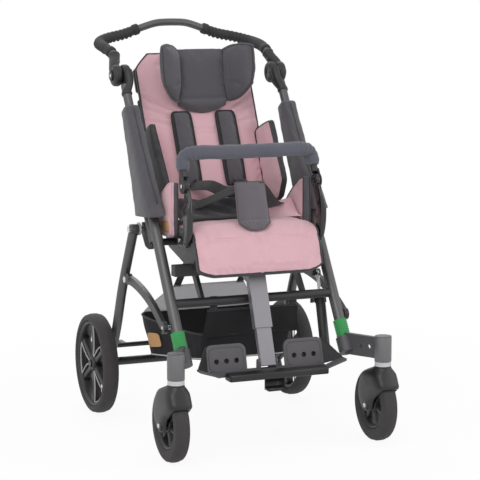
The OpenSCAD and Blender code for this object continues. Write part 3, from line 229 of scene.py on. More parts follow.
def curve_through(points, steps):
    last = len(points) - 1
    out = []
    for i in range(last):
        a = points[max(i - 1, 0)]
        b = points[i]
        c = points[i + 1]
        d = points[min(i + 2, last)]
        for k in range(steps):
            t = k / steps
            p = b + (c - a) * (t / 2)
            p = p + (2 * a - 5 * b + 4 * c - d) * (t * t / 2)
            p = p + (3 * b - a - 3 * c + d) * (t ** 3 / 2)
            out.append(p)
    out.append(points[last])
    return out


# Points of a path, each with the two directions across it
def frames_along(path, up):
    out = []
    side = None
    for i, p in enumerate(path):
        t = (path[min(i + 1, len(path) - 1)] - path[max(i - 1, 0)]).normalized()
        if side is None:
            side = t.cross(up).normalized()
        else:
            side = (side - t * side.dot(t)).normalized()
        out.append((p, side, side.cross(t).normalized()))
    return out


# Faces between rings of points; the last ring meets the first where the run is closed
def ring_faces(rings, count, closed=False):
    faces = []
    for i in range(rings if closed else rings - 1):
        j = (i + 1) % rings
        for k in range(count):
            m = (k + 1) % count
            faces.append((i * count + k, i * count + m, j * count + m, j * count + k))
    return faces


def loft(name, rings, mats, caps=True, closed=False, smooth=True):
    count = len(rings[0])
    verts = [p for ring in rings for p in ring]
    faces = ring_faces(len(rings), count, closed)
    if caps and not closed:
        faces.append(tuple(range(count)))
        faces.append(tuple((len(rings) - 1) * count + k for k in range(count)))
    return add_mesh(name, verts, faces, mats, smooth=smooth)


# A tube along a path; the radius is a number or a rule of length, whole length, direction
def sweep(name, path, radius, mats, sides):
    whole = sum((b - a).length for a, b in zip(path, path[1:]))
    gone = 0.0
    rings = []
    for i, (p, a, b) in enumerate(frames_along(path, UP)):
        if i:
            gone += (path[i] - path[i - 1]).length
        ring = []
        for w in turns(sides):
            way = a * cos(w) + b * sin(w)
            r = radius(gone, whole, way) if callable(radius) else radius
            ring.append(p + way * r)
        rings.append(ring)
    return loft(name, rings, mats)


# Strap of a width and thickness along a path, with its broad side facing up
def strap(name, path, width, thick, up, mats):
    rings = []
    h = thick / 2
    w = width / 2
    flat = w * 0.94
    shape = [(-w, -h / 2), (-flat, -h), (flat, -h), (w, -h / 2)]
    shape += [(-x, -y) for x, y in shape]
    for p, a, b in frames_along(path, up):
        rings.append([p + a * x + b * y for x, y in shape])
    return loft(name, rings, mats)


# Turned piece about the X axis: profile of (radius, x) in millimetres round a centre
def turned_x(name, profile, centre, mats, steps=64, side=1):
    cx, cy, cz = centre
    rings = []
    for w in turns(steps):
        rings.append([at(cx + side * x, cy + r * cos(w), cz + r * sin(w)) for r, x in profile])
    return loft(name, rings, mats, closed=True)


# A turned profile and its mirror image across x = 0
def two_sided(profile):
    return profile + [(r, -x) for r, x in reversed(profile)]


# Radius of the pinhole that is left on the axis of a turned solid
PINHOLE = 0.4


def rounded_disc(r, x0, x1, fillet, steps=4):
    out = [(PINHOLE, x0)]
    arc = [pi / 2 * i / steps for i in range(steps + 1)]
    out += [(r - fillet + fillet * sin(a), x0 + fillet - fillet * cos(a)) for a in arc]
    out += [(r - fillet + fillet * cos(a), x1 - fillet + fillet * sin(a)) for a in arc]
    out.append((PINHOLE, x1))
    return out


# The same turned profile with a hole of a radius through its middle
def bored(profile, hole):
    return [(max(r, hole), x) for r, x in profile]


# Closed pad between the front and the back of a sheet, with a bulging rim between them.
# Front and back are rules, or a number, for the sheet's third value
def pillow(name, sheet, front, back, nu, nv, mats, rim, bulge, band=0, dark=9):
    row = nu + 1
    layer = row * (nv + 1)
    grid = [(2 * i / nu - 1, 2 * j / nv - 1) for j in range(nv + 1) for i in range(nu + 1)]
    verts = []
    for rule in (front, back):
        verts += [sheet(u, v, rule(u, v) if callable(rule) else rule) for u, v in grid]
    faces = []
    index = []
    for j in range(nv):
        for i in range(nu):
            a = j * row + i
            faces.append((a, a + 1, a + row + 1, a + row))
            index.append(1 if i < band or i >= nu - band else 0)
            faces.append((layer + a, layer + a + row, layer + a + row + 1, layer + a + 1))
            index.append(2)
    edge = list(range(nu))
    edge += [j * row + nu for j in range(nv)]
    edge += [nv * row + i for i in range(nu, 0, -1)]
    edge += [j * row for j in range(nv, 0, -1)]
    middle = sum((verts[e] for e in edge), Vector()) / len(edge)
    loops = [edge]
    for k in range(1, rim):
        t = k / rim
        loop = []
        for e in edge:
            a = verts[e]
            b = verts[layer + e]
            across = (b - a).normalized()
            out = a - middle
            out = out - across * out.dot(across)
            loop.append(len(verts))
            verts.append(a.lerp(b, t) + out.normalized() * (bulge * sin(pi * t)))
        loops.append(loop)
    loops.append([layer + e for e in edge])
    for k in range(rim):
        for i in range(len(edge)):
            j = (i + 1) % len(edge)
            faces.append((loops[k][i], loops[k][j], loops[k + 1][j], loops[k + 1][i]))
            index.append(1 if k < dark else 2)
    obj = add_mesh(name, verts, faces, mats, index)
    obj["edge"] = edge
    obj["layer"] = layer
    return obj


# Presses sewn lines and folds into the front sheet of a pad
def press(pad, nu, nv, dent):
    verts = pad.data.vertices
    for j in range(nv + 1):
        for i in range(nu + 1):
            verts[j * (nu + 1) + i].co -= dent(2 * i / nu - 1, 2 * j / nv - 1)


# Piping along a closed run of points
def piping(name, points, r, mats):
    count = len(points)
    rings = []
    middle = sum(points, Vector()) / count
    for i, p in enumerate(points):
        t = (points[(i + 1) % count] - points[i - 1]).normalized()
        a = t.cross((p - middle).normalized()).normalized()
        b = a.cross(t).normalized()
        rings.append([p + a * (r * cos(w)) + b * (r * sin(w)) for w in turns(8)])
    return loft(name, rings, mats, closed=True)


# Piping round the front edge of a pad, or shifted to its back edge
def edge_piping(name, pad, body, r, mats, shift=0):
    points = [pad.data.vertices[i + shift].co.copy() for i in pad["edge"]]
    finish_piece(piping(name, points, r, mats), body)


# Plain sewn patch with rounded corners that follows the cloth under it
def soft_patch(name, surface, u0, u1, v0, v1, thick):
    step = 0.01
    grow_shares = (0.02, 0.3, 0.6, 0.85, 0.96, 1.0, 1.0)
    lift_shares = (1, 1, 1, 1, 0.6, 0.6, -1)
    rings = []
    for grow, lift in zip(grow_shares, lift_shares):
        ring = []
        for w in turns(40):
            c, s = squared(w, 0.4)
            u = mix(u0, u1, (c * grow + 1) / 2)
            v = mix(v0, v1, (s * grow + 1) / 2)
            here = surface(u, v)
            out = (surface(u + step, v) - here).cross(surface(u, v + step) - here).normalized()
            if out.x * here.x < 0:
                out = -out
            ring.append(here + out * (thick * lift))
        rings.append(ring)
    return loft(name, rings, LEATHER)


CLOTH = {
    "quality": 6, "mass": 0.25, "tension_stiffness": 18, "compression_stiffness": 18, "shear_stiffness": 6,
    "bending_stiffness": 0.6, "air_damping": 2, "vertex_group_mass": "seam", "use_pressure": True,
}


# Cloth run: pressure swells a pad between its held points, within a cap in metres.
# Held are its front edge, and the back sheet or all behind the front sheet where that is named
def inflate(pad, pressure, cap, grow, held="edge"):
    stages = 20
    mesh = pad.data
    count = len(mesh.vertices)
    layer = pad["layer"]
    behind = {"edge": layer, "back": 2 * layer, "behind": count}
    pinned = list(pad["edge"]) + list(range(layer, behind[held]))
    rest = np.empty(count * 3)
    mesh.vertices.foreach_get("co", rest)
    rest = rest.reshape(-1, 3)
    group = pad.vertex_groups.new(name="seam")
    group.add(pinned, 1.0, "REPLACE")
    mod = pad.modifiers.new("Cloth", "CLOTH")
    for key, value in CLOTH.items():
        setattr(mod.settings, key, value)
    mod.settings.uniform_pressure_force = pressure
    mod.settings.shrink_min = -grow
    mod.settings.effector_weights.gravity = 0
    mod.collision_settings.use_collision = False
    scene.frame_start = 1
    scene.frame_end = stages
    mod.point_cache.frame_start = 1
    mod.point_cache.frame_end = stages
    for f in range(1, stages + 1):
        scene.frame_set(f)
    graph = bpy.context.evaluated_depsgraph_get()
    shaped = pad.evaluated_get(graph).to_mesh()
    new = np.empty(count * 3)
    shaped.vertices.foreach_get("co", new)
    pad.evaluated_get(graph).to_mesh_clear()
    pad.modifiers.remove(mod)
    pad.vertex_groups.remove(group)
    move = new.reshape(-1, 3) - rest
    size = np.linalg.norm(move, axis=1, keepdims=True)
    move = move * np.minimum(1.0, cap / np.maximum(size, 1e-9))
    mesh.vertices.foreach_set("co", (rest + move).ravel())
    mesh.update()
    scene.frame_set(1)


# Materials
def linear(rgb):
    return [((c / 255 + 0.055) / 1.055) ** 2.4 if c > 10 else c / 255 / 12.92 for c in rgb]


# Sets inputs of a shader node by their names, with underscores for spaces
def put(node, **values):
    for name, value in values.items():
        node.inputs[name.replace("_", " ")].default_value = value


class Shader:
    def __init__(self, name, rgb, rough, metal=0.0):
        self.mat = bpy.data.materials.new(name)
        self.mat.use_nodes = True
        self.tree = self.mat.node_tree
        self.bsdf = self.tree.nodes["Principled BSDF"]
        self.rgb = linear(rgb)
        put(self.bsdf, Roughness=rough, Metallic=metal)
        self.coord = self.tree.nodes.new("ShaderNodeTexCoord")
        self.normal = None

    def node(self, kind, **values):
        n = self.tree.nodes.new(kind)
        for k, v in values.items():
            setattr(n, k, v)
        return n

    def link(self, a, b):
        self.tree.links.new(a, b)

    def math(self, op, a, b=None):
        n = self.node("ShaderNodeMath", operation=op)
        for i, v in enumerate((a, b)):
            if v is None:
                continue
            if isinstance(v, (int, float)):
                n.inputs[i].default_value = v
            else:
                self.link(v, n.inputs[i])
        return n.outputs[0]

    def noise(self, scale, detail=3.0, rough=0.5, stretch=None):
        n = self.node("ShaderNodeTexNoise")
        put(n, Scale=scale, Detail=detail, Roughness=rough)
        source = self.coord.outputs["Object"]
        if stretch:
            m = self.node("ShaderNodeMapping")
            put(m, Scale=stretch)
            self.link(source, m.inputs["Vector"])
            source = m.outputs["Vector"]
        self.link(source, n.inputs["Vector"])
        return n.outputs["Fac"]

    def tint(self, fac, low, high):
        ramp = self.node("ShaderNodeMix", data_type="RGBA")
        ramp.inputs[6].default_value = [c * low for c in self.rgb] + [1]
        ramp.inputs[7].default_value = [min(c * high, 1) for c in self.rgb] + [1]
        self.link(fac, ramp.inputs[0])
        self.link(ramp.outputs[2], self.bsdf.inputs["Base Color"])

    def roughness(self, fac, low, high):
        m = self.node("ShaderNodeMapRange")
        put(m, To_Min=low, To_Max=high)
        self.link(fac, m.inputs["Value"])
        self.link(m.outputs["Result"], self.bsdf.inputs["Roughness"])

    def bump(self, height, strength, distance):
        b = self.node("ShaderNodeBump")
        put(b, Strength=strength, Distance=distance)
        self.link(height, b.inputs["Height"])
        if self.normal is not None:
            self.link(self.normal, b.inputs["Normal"])
        self.normal = b.outputs["Normal"]
        self.link(self.normal, self.bsdf.inputs["Normal"])

    # Threads that read as a weave on a face of any direction
    def weave(self, pitch):
        k = 2 * pi / pitch
        xyz = self.node("ShaderNodeSeparateXYZ")
        self.link(self.coord.outputs["Object"], xyz.inputs[0])
        s = [self.math("SINE", self.math("MULTIPLY", xyz.outputs[i], k)) for i in range(3)]
        a = self.math("MULTIPLY", s[0], s[1])
        b = self.math("MULTIPLY", s[1], s[2])
        c = self.math("MULTIPLY", s[2], s[0])
        return self.math("ADD", self.math("ADD", a, b), c)


def fabric(name, rgb, pitch=0.0022, melange=0.22, rough=0.92, sheen=0.25):
    s = Shader(name, rgb, rough)
    put(s.bsdf, Sheen_Weight=sheen, Sheen_Roughness=0.6, Specular_IOR_Level=0.2)
    weave = s.weave(pitch)
    fine = s.noise(420, 2.0, 0.6)
    broad = s.noise(14, 3.0, 0.55)
    fac = s.math("ADD", s.math("MULTIPLY", fine, 0.6), s.math("MULTIPLY", broad, 0.4))
    s.tint(fac, 1 - melange, 1 + melange)
    s.bump(weave, 0.35, 0.0006)
    s.bump(s.noise(38, 3.0, 0.6), 0.25, 0.004)
    return s.mat


# Thin cloth that also lets light through from behind
def let_through(mat, rgb, share):
    tree = mat.node_tree
    thin = tree.nodes.new("ShaderNodeBsdfTranslucent")
    put(thin, Color=linear(rgb) + [1])
    both_ways = tree.nodes.new("ShaderNodeMixShader")
    both_ways.inputs[0].default_value = share
    tree.links.new(tree.nodes["Principled BSDF"].outputs[0], both_ways.inputs[1])
    tree.links.new(thin.outputs[0], both_ways.inputs[2])
    tree.links.new(both_ways.outputs[0], tree.nodes["Material Output"].inputs["Surface"])


def plastic(name, rgb, rough, grain=900, depth=0.25, coat=0.0):
    s = Shader(name, rgb, rough)
    put(s.bsdf, Coat_Weight=coat, Coat_Roughness=0.15)
    s.tint(s.noise(22, 4.0, 0.6), 0.86, 1.14)
    s.roughness(s.noise(60, 4.0, 0.6), rough - 0.08, rough + 0.1)
    s.bump(s.noise(grain, 2.0, 0.5), depth, 0.0004)
    return s.mat


def metal(name, rgb, rough, metallic, stretch=None, flake=True):
    s = Shader(name, rgb, rough, metallic)
    s.tint(s.noise(700 if flake else 40, 2.0, 0.5, stretch), 0.88, 1.12)
    s.roughness(s.noise(30, 4.0, 0.6, stretch), rough - 0.07, rough + 0.09)
    s.bump(s.noise(520, 2.0, 0.5, stretch), 0.08, 0.0003)
    return s.mat


GRAPHITE = metal("graphite_paint", (92, 92, 93), 0.42, 0.55)
STEM_GREY = metal("grey_paint", (112, 111, 113), 0.5, 0.35)
STEEL = metal("plated_steel", (205, 205, 208), 0.25, 0.95, flake=False)
SILVER = metal("brushed_aluminium", (138, 136, 140), 0.42, 0.6, (60, 1, 1), False)
BLACK = plastic("black_plastic", (35, 35, 37), 0.5)
GLOSS = plastic("gloss_black", (24, 23, 25), 0.22, coat=0.3, depth=0.08)
SATIN = plastic("black_satin_paint", (36, 36, 38), 0.4, depth=0.12)
GREY = plastic("grey_plastic", (86, 84, 87), 0.55)
PALE = plastic("pale_plastic", (196, 196, 199), 0.5)
GREEN = plastic("green_elastomer", (58, 150, 84), 0.55, 600, 0.3)
RUBBER = plastic("grip_rubber", (44, 43, 45), 0.72, 1100, 0.4)
TYRE = plastic("tyre_rubber", (58, 55, 57), 0.78, 700, 0.5)
RIM = plastic("rim_plastic", (40, 39, 41), 0.45)
FORK = plastic("fork_plastic", (23, 23, 25), 0.42)
CHARCOAL = fabric("charcoal_fabric", (83, 81, 86))
CROTCH_GREY = fabric("crotch_fabric", (101, 96, 102))
BLUE_GREY = fabric("bumper_fabric", (88, 89, 100), 0.0026, 0.32)
PINK = fabric("pink_fabric", (220, 176, 185), 0.0022, 0.12, sheen=0.3)
EDGE = fabric("dark_edging", (58, 56, 60), 0.0016, 0.2)
WEB = fabric("black_webbing", (38, 37, 39), 0.0024, 0.2)
NYLON = fabric("black_nylon", (30, 29, 32), 0.0016, 0.2, 0.6, 0.02)
LINING = fabric("grey_lining", (188, 187, 189), 0.0022, 0.14)
PANEL = fabric("grey_panel", (176, 175, 178), 0.0022, 0.14)
let_through(PANEL, (236, 235, 237), 0.66)
ARM = plastic("arm_plastic", (74, 73, 76), 0.5)
TRIM = plastic("wheel_trim", (170, 169, 173), 0.5)
LEATHER = plastic("tan_leather", (196, 152, 108), 0.62, 260, 0.5)


# Nodes that are shown as they are
def paint(mat, *names):
    for n in names:
        mesh = nodes[n].data
        mesh.materials.clear()
        mesh.materials.append(mat)


paint(GRAPHITE, "front_tube_left", "front_tube_right", "handle_tubes", "fold_rails", "seat_pivot_tube")
paint(SATIN, "fold_links", "lower_cross_tube", "seat_frame", "seat_posts", "strut_cylinder", "brake_bar")
paint(SATIN, "headrest_plate", "bumper_tube", "rear_axle")
paint(BLACK, "fold_brackets", "buckle", "back_shell", "seat_base", "button_left", "button_right")
paint(ARM, "caster_arm_left", "caster_arm_right")
paint(STEEL, "frame_pins", "hinge_pins", "strut_rod")
paint(PALE, "bearing_rings", "leg_caps")
paint(GREEN, "suspension_sleeves")
paint(SILVER, "foot_post_outer", "foot_post_inner")
paint(GREY, "footplate")

# Handle: end of the upper joint's neck, from the joint
NECK_END = (57, 56)


def handle_half():
    jy, jz = JOINT
    ny, nz = NECK_END
    reach = 238
    rise = 143
    elbow = 6.25
    start_share = 0.62
    bend_shares = [
        (1 + elbow / TUBE_X, 0.5, 0.52), (1, 0.8, 0.6), (0.85, 0.96, 0.68), (0.62, 1, 0.76),
        (0.42, 1, 0.87), (0.2, 0.98, 0.98), (0, 0.97, 1),
    ]
    points = [(TUBE_X, jy + ny * start_share, jz + nz * start_share), (TUBE_X, jy + ny, jz + nz)]
    points += [(TUBE_X * a, jy + reach * b, jz + rise * c) for a, b, c in bend_shares]
    return curve_through([at(*p) for p in points], 12)


def make_handle():
    half = handle_half()
    bar = sweep("handle_bar_tube", whole_path(half), 0.011, GRAPHITE, 24)
    finish_piece(bar, "handle", ["handle_bar"])
    cuff_long = 0.016
    cuff_r = 0.0165
    cuff_round = 0.003
    grip_r = 0.0142
    plain_end = 0.03
    pitch = 0.0135
    ridge = 0.0034
    first = 15
    last = 72

    def rib(s, length, way):
        ends = min(s, length - s)
        if ends < cuff_long:
            return cuff_r - 0.002 * (1 - clamp(ends / cuff_round, 0, 1))
        r = grip_r
        if plain_end < s < length - plain_end:
            wave = 0.5 + 0.5 * cos(2 * pi * s / pitch)
            r += ridge * wave ** 1.4 * (0.35 + 0.65 * ease((0.5 - way.dot(UP)) / 1.1))
        return r

    path = []
    for a, b in zip(half[first:last], half[first + 1:last + 1]):
        path += [a.lerp(b, k / 4) for k in range(4)]
    left = sweep("grip_left_rubber", mirrored(path), rib, RUBBER, 24)
    right = sweep("grip_right_rubber", path, rib, RUBBER, 24)
    finish_piece(left, "handle", ["grips"])
    finish_piece(right, "handle", ["grips"])


# Handle joints: a lower and an upper half shell, each with a neck onto its tube
def make_joints():
    jy, jz = JOINT
    centre = (0, jy, jz)
    r = 31
    deep = 25
    gap = 0.4
    fillet = 9
    pin_hole = 6.4
    button_hole = 14.4
    button_floor = 13
    neck_in = 12.7
    neck_low = 793
    neck_high = 866
    neck_start = 13
    neck_flat = 0.47
    face = TUBE_X + deep
    bases = []
    caps = []

    def neck(s, length, way):
        q = 0.0142 + 0.0085 * ease(s / (0.85 * length)) + 0.0016 * bell(s - 0.004, 0.004)
        return q * (1 - neck_flat * ease(s / (0.5 * length)) * way.x ** 2)

    def collar(s, length, way):
        q = 0.0225 - 0.0062 * ease(s / length * 1.15) + 0.0012 * bell(s - length + 0.004, 0.004)
        return q * (1 - neck_flat * (1 - ease(s / length)) * way.x ** 2)

    for side, name in SIDES:
        disc = rounded_disc(r, TUBE_X - deep, TUBE_X - gap, fillet, 6)
        bases.append(turned_x("base_disc", disc, centre, BLACK, side=side))
        low = []
        for u in np.linspace(neck_low, neck_high, 20):
            low.append(tube_at(side * (TUBE_X - neck_in * ease((u - neck_low - 5) / 38)), 0, u))
        bases.append(sweep("base_neck", low, neck, BLACK, 28))
        disc = bored(rounded_disc(r, TUBE_X + gap, face, fillet, 6)[:-1], pin_hole)
        disc += [(button_hole, face), (button_hole, TUBE_X + button_floor), (pin_hole, TUBE_X + button_floor)]
        caps.append(turned_x("cap_disc", disc, centre, BLACK, side=side))
        start = at(side * (TUBE_X + neck_in), jy + neck_start, jz + neck_start)
        end = at(side * TUBE_X, jy + NECK_END[0], jz + NECK_END[1])
        path = []
        for t in np.linspace(0, 1, 16):
            spot = start.lerp(end, t)
            spot.x = mix(start.x, end.x, ease(t))
            path.append(spot)
        caps.append(sweep("cap_neck", path, collar, BLACK, 28))
        ring = [(15.6, face - 1), (17, face + 1.4), (20, face + 1.4), (22, face - 1)]
        caps.append(turned_x("cap_ring", ring, centre, SATIN, side=side))
        stud = rounded_disc(5.5, face + 3, face + 6.4, 1.4)
        dot = turned_x("button_dot", stud, centre, STEEL, 32, side)
        finish_piece(dot, "button_" + name)
    finish_piece(join("joint_base_shells", bases), "frame", ["joint_bases"])
    finish_piece(join("joint_cap_shells", caps), "handle", ["joint_caps"])


make_handle()
make_joints()


# Wheels: radii of rims and hubs, and the angle of the first spoke
REAR_RIM_R = 124
REAR_HUB_R = 20
REAR_TURN = radians(28)
CASTER_RIM_R = 66
CASTER_HUB_R = 20
CASTER_TURN = radians(15)
RIM_INSET = 5


def tyre_profile(r, w, inner):
    groove = 1.6
    tread = 16
    wall = min(9, r - tread - 1 - inner)
    half = [(inner, -w * 0.36), (inner + wall / 3, -w * 0.45), (inner + wall, -w * 0.5)]
    out = list(half)
    for i in range(13):
        a = pi * (i / 12 - 0.5)
        bulge = squared(a, 0.75)[1]
        cut = groove if i in (4, 8) else 0
        edge = 0.97 if i in (0, 12) else 1
        out.append((r - tread + tread * cos(a) ** 0.6 - cut, bulge * w * 0.5 * edge))
    return out + [(q, -x) for q, x in reversed(half)]


def spoke(centre, angle, r0, r1, w0, w1, t0, t1):
    rings = []
    ca = cos(angle)
    sa = sin(angle)
    for i in range(7):
        t = i / 6
        r = mix(r0, r1, t)
        flare = 1 + 0.5 * (2 * t - 1) ** 4
        w = mix(w0, w1, t) / 2 * flare
        h = mix(t0, t1, t) / 2
        ring = []
        for a in turns(16):
            c, s = squared(a, 0.5)
            q = w * s
            ring.append(at(centre[0] + h * c, centre[1] + r * ca - q * sa, centre[2] + r * sa + q * ca))
        rings.append(ring)
    return loft("spoke", rings, RIM)


# Outline of the opening between two spokes
def window_outline(centre, x, start, stop, r0, r1):
    inset = 0.09
    tip = 0.12
    first = start + inset
    last = stop - inset
    mid = (start + stop) / 2
    points = [(r1, mix(first, last, i / 12)) for i in range(13)]
    points += [(mix(r1, r0, i / 8), mix(last, mid + tip, i / 8)) for i in range(1, 8)]
    points += [(r0, mix(mid + tip, mid - tip, i / 4)) for i in range(5)]
    points += [(mix(r0, r1, i / 8), mix(mid - tip, first, i / 8)) for i in range(1, 8)]
    return [at(centre[0] + x, centre[1] + r * cos(a), centre[2] + r * sin(a)) for r, a in points]


def make_wheel(kind, name, centre, r, w, rim_r, hub_r, turn):
    body = f"{kind}_wheel_{name}"
    tag = f"{kind}_{name}"
    axle_hole = 6.6
    tyre = turned_x(tag + "_tyre_rubber", tyre_profile(r, w, rim_r), centre, TYRE, 96)
    finish_piece(tyre, body, [f"{kind}_tyre_{name}"])
    half = w / 2 - RIM_INSET
    ring = [(rim_r - 9.5, -half + 6), (rim_r - 8, -half + 2), (rim_r - 3, -half - 1.2), (rim_r - 0.3, -half)]
    hub = [(axle_hole, -half), (hub_r - 4, -half), (hub_r, -half + 4)]
    parts = [turned_x("rim_ring", two_sided(ring), centre, RIM, 96)]
    parts.append(turned_x("rim_hub", two_sided(hub), centre, RIM, 48))
    for i in range(6):
        a = turn + i * pi / 3
        parts.append(spoke(centre, a, hub_r - 5, rim_r - 7, 14, 15, 2 * half * 0.7, 2 * half * 0.62))
    finish_piece(join(tag + "_rim_body", parts), body, [f"{kind}_rim_{name}"])


# Hub cap of a rear wheel, and light outlines of every other window
def make_rear_trim(side, name):
    centre = (side * REAR_X, 0, REAR_R)
    x = side * (REAR_W / 2 - RIM_INSET) * 0.66
    for i in range(3):
        a = REAR_TURN + (2 * i + 1) * pi / 3
        run = window_outline(centre, x, a, a + pi / 3, REAR_HUB_R + 6, REAR_RIM_R - 11)
        finish_piece(piping(f"rear_{name}_trim_{i}", run, 0.002, TRIM), "rear_wheel_" + name)
    disc = bored(rounded_disc(17, 8, 18, 5), 6.5)
    cap = turned_x("rear_cap_" + name, disc, centre, BLACK, 40, side)
    finish_piece(cap, "rear_wheel_" + name)


def caster_centre(side):
    return (side * CASTER_X, CASTER_Y + CASTER_TRAIL, CASTER_R)


def make_wheels(side, name):
    make_wheel("rear", name, (side * REAR_X, 0, REAR_R), REAR_R, REAR_W, REAR_RIM_R, REAR_HUB_R, REAR_TURN)
    make_rear_trim(side, name)
    centre = caster_centre(side)
    make_wheel("caster", name, centre, CASTER_R, CASTER_W, CASTER_RIM_R, CASTER_HUB_R, CASTER_TURN)


both(make_wheels)

# Caster forks: height, half width, front and rear of a swelling body
FORK_LEVELS = [
    (215.2, 22, -22, 22), (210, 24, -25, 30), (203, 29, -29, 46), (195, 33, -33, 62),
    (185, 35, -38.5, 76), (174, 35.6, -45, 86), (164, 35.8, -51.5, 92), (159, 35.8, -50, 95),
    (150, 35.6, -38, 98), (140, 35.2, -22, 99), (128, 34.8, -4, 98), (114, 34.2, 8, 93),
    (100, 33.4, 14, 84), (90, 32, 19, 74), (84, 30, 25, 64), (80.5, 26, 32, 52),
]


# Cuts the room of the wheel out of a fork
def cut_room(body, centre):
    room = two_sided([(PINHOLE, -21), (94, -21), (101, -18.5), (103.6, -12)])
    cutter = turned_x("fork_room", room, centre, FORK, 96)
    mod = body.modifiers.new("Room", "BOOLEAN")
    mod.operation = "DIFFERENCE"
    mod.solver = "EXACT"
    mod.object = cutter
    graph = bpy.context.evaluated_depsgraph_get()
    mesh = bpy.data.meshes.new_from_object(body.evaluated_get(graph))
    mesh.materials.clear()
    mesh.materials.append(FORK)
    body.modifiers.clear()
    body.data = mesh
    bpy.data.objects.remove(cutter)


def make_fork(side, name):
    rings = []
    for z, rx, front, rear in FORK_LEVELS:
        ring = []
        ry = (rear - front) / 2
        yc = (rear + front) / 2
        power = 0.52 if z < 200 else 0.75 if z < 208 else 1.0
        for a in turns(48):
            c, s = squared(a, power)
            ring.append(at(side * CASTER_X + rx * c, CASTER_Y + yc + ry * s, z))
        rings.append(ring)
    body = loft("fork_body", rings, FORK)
    centre = caster_centre(side)
    cut_room(body, centre)
    parts = [body]
    bolts = []
    for way in (-1, 1):
        parts.append(turned_x("fork_boss", rounded_disc(15, 27, 34, 2.5), centre, FORK, 40, way))
        bolts.append(turned_x("fork_bolt", rounded_disc(6.5, 32, 36.2, 1.2), centre, STEEL, 24, way))
    axle = two_sided([(PINHOLE, -24), (5, -24)])
    bolts.append(turned_x("fork_axle", axle, centre, STEEL, 24))
    shell = join("fork_shell_" + name, parts)
    finish_piece(shell, "caster_" + name, ["caster_fork_" + name])
    finish_piece(join("fork_bolts_" + name, bolts), "caster_" + name)


both(make_fork)


# Grey housings of the caster stems
def make_stem(side, name):
    rings = []
    for r, z in ((22.6, 228.4), (23.2, 229.2), (23.2, 295), (22, 297.6), (18, 298.6), (PINHOLE, 298.8)):
        rings.append([at(side * CASTER_X + r * cos(a), CASTER_Y + r * sin(a), z) for a in turns(56)])
    finish_piece(loft("stem_cover_" + name, rings, STEM_GREY, False), "frame")


both(make_stem)


# Front board of the footplate with its hook
def make_board():
    half_w = 143
    half_y = 22
    half_z = 10
    board_y = -68.2
    board_z = -18
    rings = []
    ends = ((half_w, 0.72), (half_w - 0.6, 0.9), (half_w - 3, 1))
    for x, share in [(-x, share) for x, share in ends] + list(reversed(ends)):
        ring = []
        for a in turns(32):
            y = half_y * share * squared(a, 0.3)[0]
            z = half_z * share * squared(a, 0.42)[1]
            ring.append(foot_at(x, board_y + y, board_z + z))
        rings.append(ring)
    board = loft("front_board", rings, FORK)
    hook = [(-46.4, -27), (-46.4, -64), (-76, -64), (-76, -56), (-56, -56), (-54.4, -52), (-54.4, -27)]
    sides = [[foot_at(x, y, z) for y, z in hook] for x in (-28, 28)]
    bracket = loft("hook_body", sides, FORK)
    finish_piece(join("front_board_body", [board, bracket]), "footplate", ["foot_board"])


# A place on a heel guard: shares of a rounded square about its middle, off its face
def guard_at(side, c, s, half_w, half_h, off):
    lean = radians(14)
    foot_y = 10
    foot_z = -22
    middle_x = 114
    h = 36 + half_h * s
    y = foot_y + off * cos(lean) + h * sin(lean)
    z = foot_z - off * sin(lean) + h * cos(lean)
    return foot_at(side * (middle_x + half_w * c), y, z)


# Ridge of a heel guard, a dark sheet of painted shade behind its holes, and the gusset beside it
def make_guard(side, name):
    run = [guard_at(side, *squared(a, 0.35), 50, 32, -6.1) for a in turns(48)]
    finish_piece(piping("heel_ridge_" + name, run, 0.0013, GREY), "footplate")
    # Dark sheet just behind the guard's holes: painted shade that keeps the holes dark
    rings = [[guard_at(side, *squared(a, 0.4), 44, 28, off) for a in turns(32)] for off in (0.4, 1.6)]
    finish_piece(loft("heel_painted_shade_" + name, rings, RUBBER), "footplate")
    corners = [(168, 10, -20), (168, 26, 48), (172, 22, 50), (211, -26, 4), (211, -27, -2)]
    rings = [[foot_at(side * x, y - off, z) for x, y, z in corners] for off in (0, 3)]
    finish_piece(loft("tray_gusset_" + name, rings, BLACK, smooth=False), "footplate")


make_board()
both(make_guard)


# Rear legs
def make_leg(side, name):
    ly, lz = LEG_PIVOT
    boss = (LEG_X - 12.4, LEG_X + 12.4, 2.5)
    bend_shares = ((1, 1), (0.57, 0.59), (0.3, 0.265), (0, 0))
    points = [at(side * LEG_X, ly * a, REAR_R + (lz - REAR_R) * b) for a, b in bend_shares]
    path = curve_through(points, 14)
    path.insert(0, path[0] + (path[0] - path[1]).normalized() * 0.008)
    parts = [sweep("leg_tube", path, 0.0135, GRAPHITE, 28)]
    for y, z, r in ((ly, lz, 14), (0, REAR_R, 20)):
        parts.append(turned_x("leg_boss", rounded_disc(r, *boss), (0, y, z), GRAPHITE, 48, side))
    finish_piece(join("leg_shape_" + name, parts), "rear_frame", ["rear_leg_" + name])
    head = rounded_disc(9, LEG_X + 12.6, LEG_X + 16.5, 1.5)
    bolt = turned_x("leg_bolt_" + name, head, (0, ly + 43, lz - 148), STEEL, 24, side)
    finish_piece(bolt, "rear_frame")


both(make_leg)


# Padded sleeves round the front tubes
def sleeve_mid(t):
    return 13 * (1 - t * t) - 8 * (1 - t) ** 3


def sleeve_wide(t):
    return 54 + 64 * (1 - t)


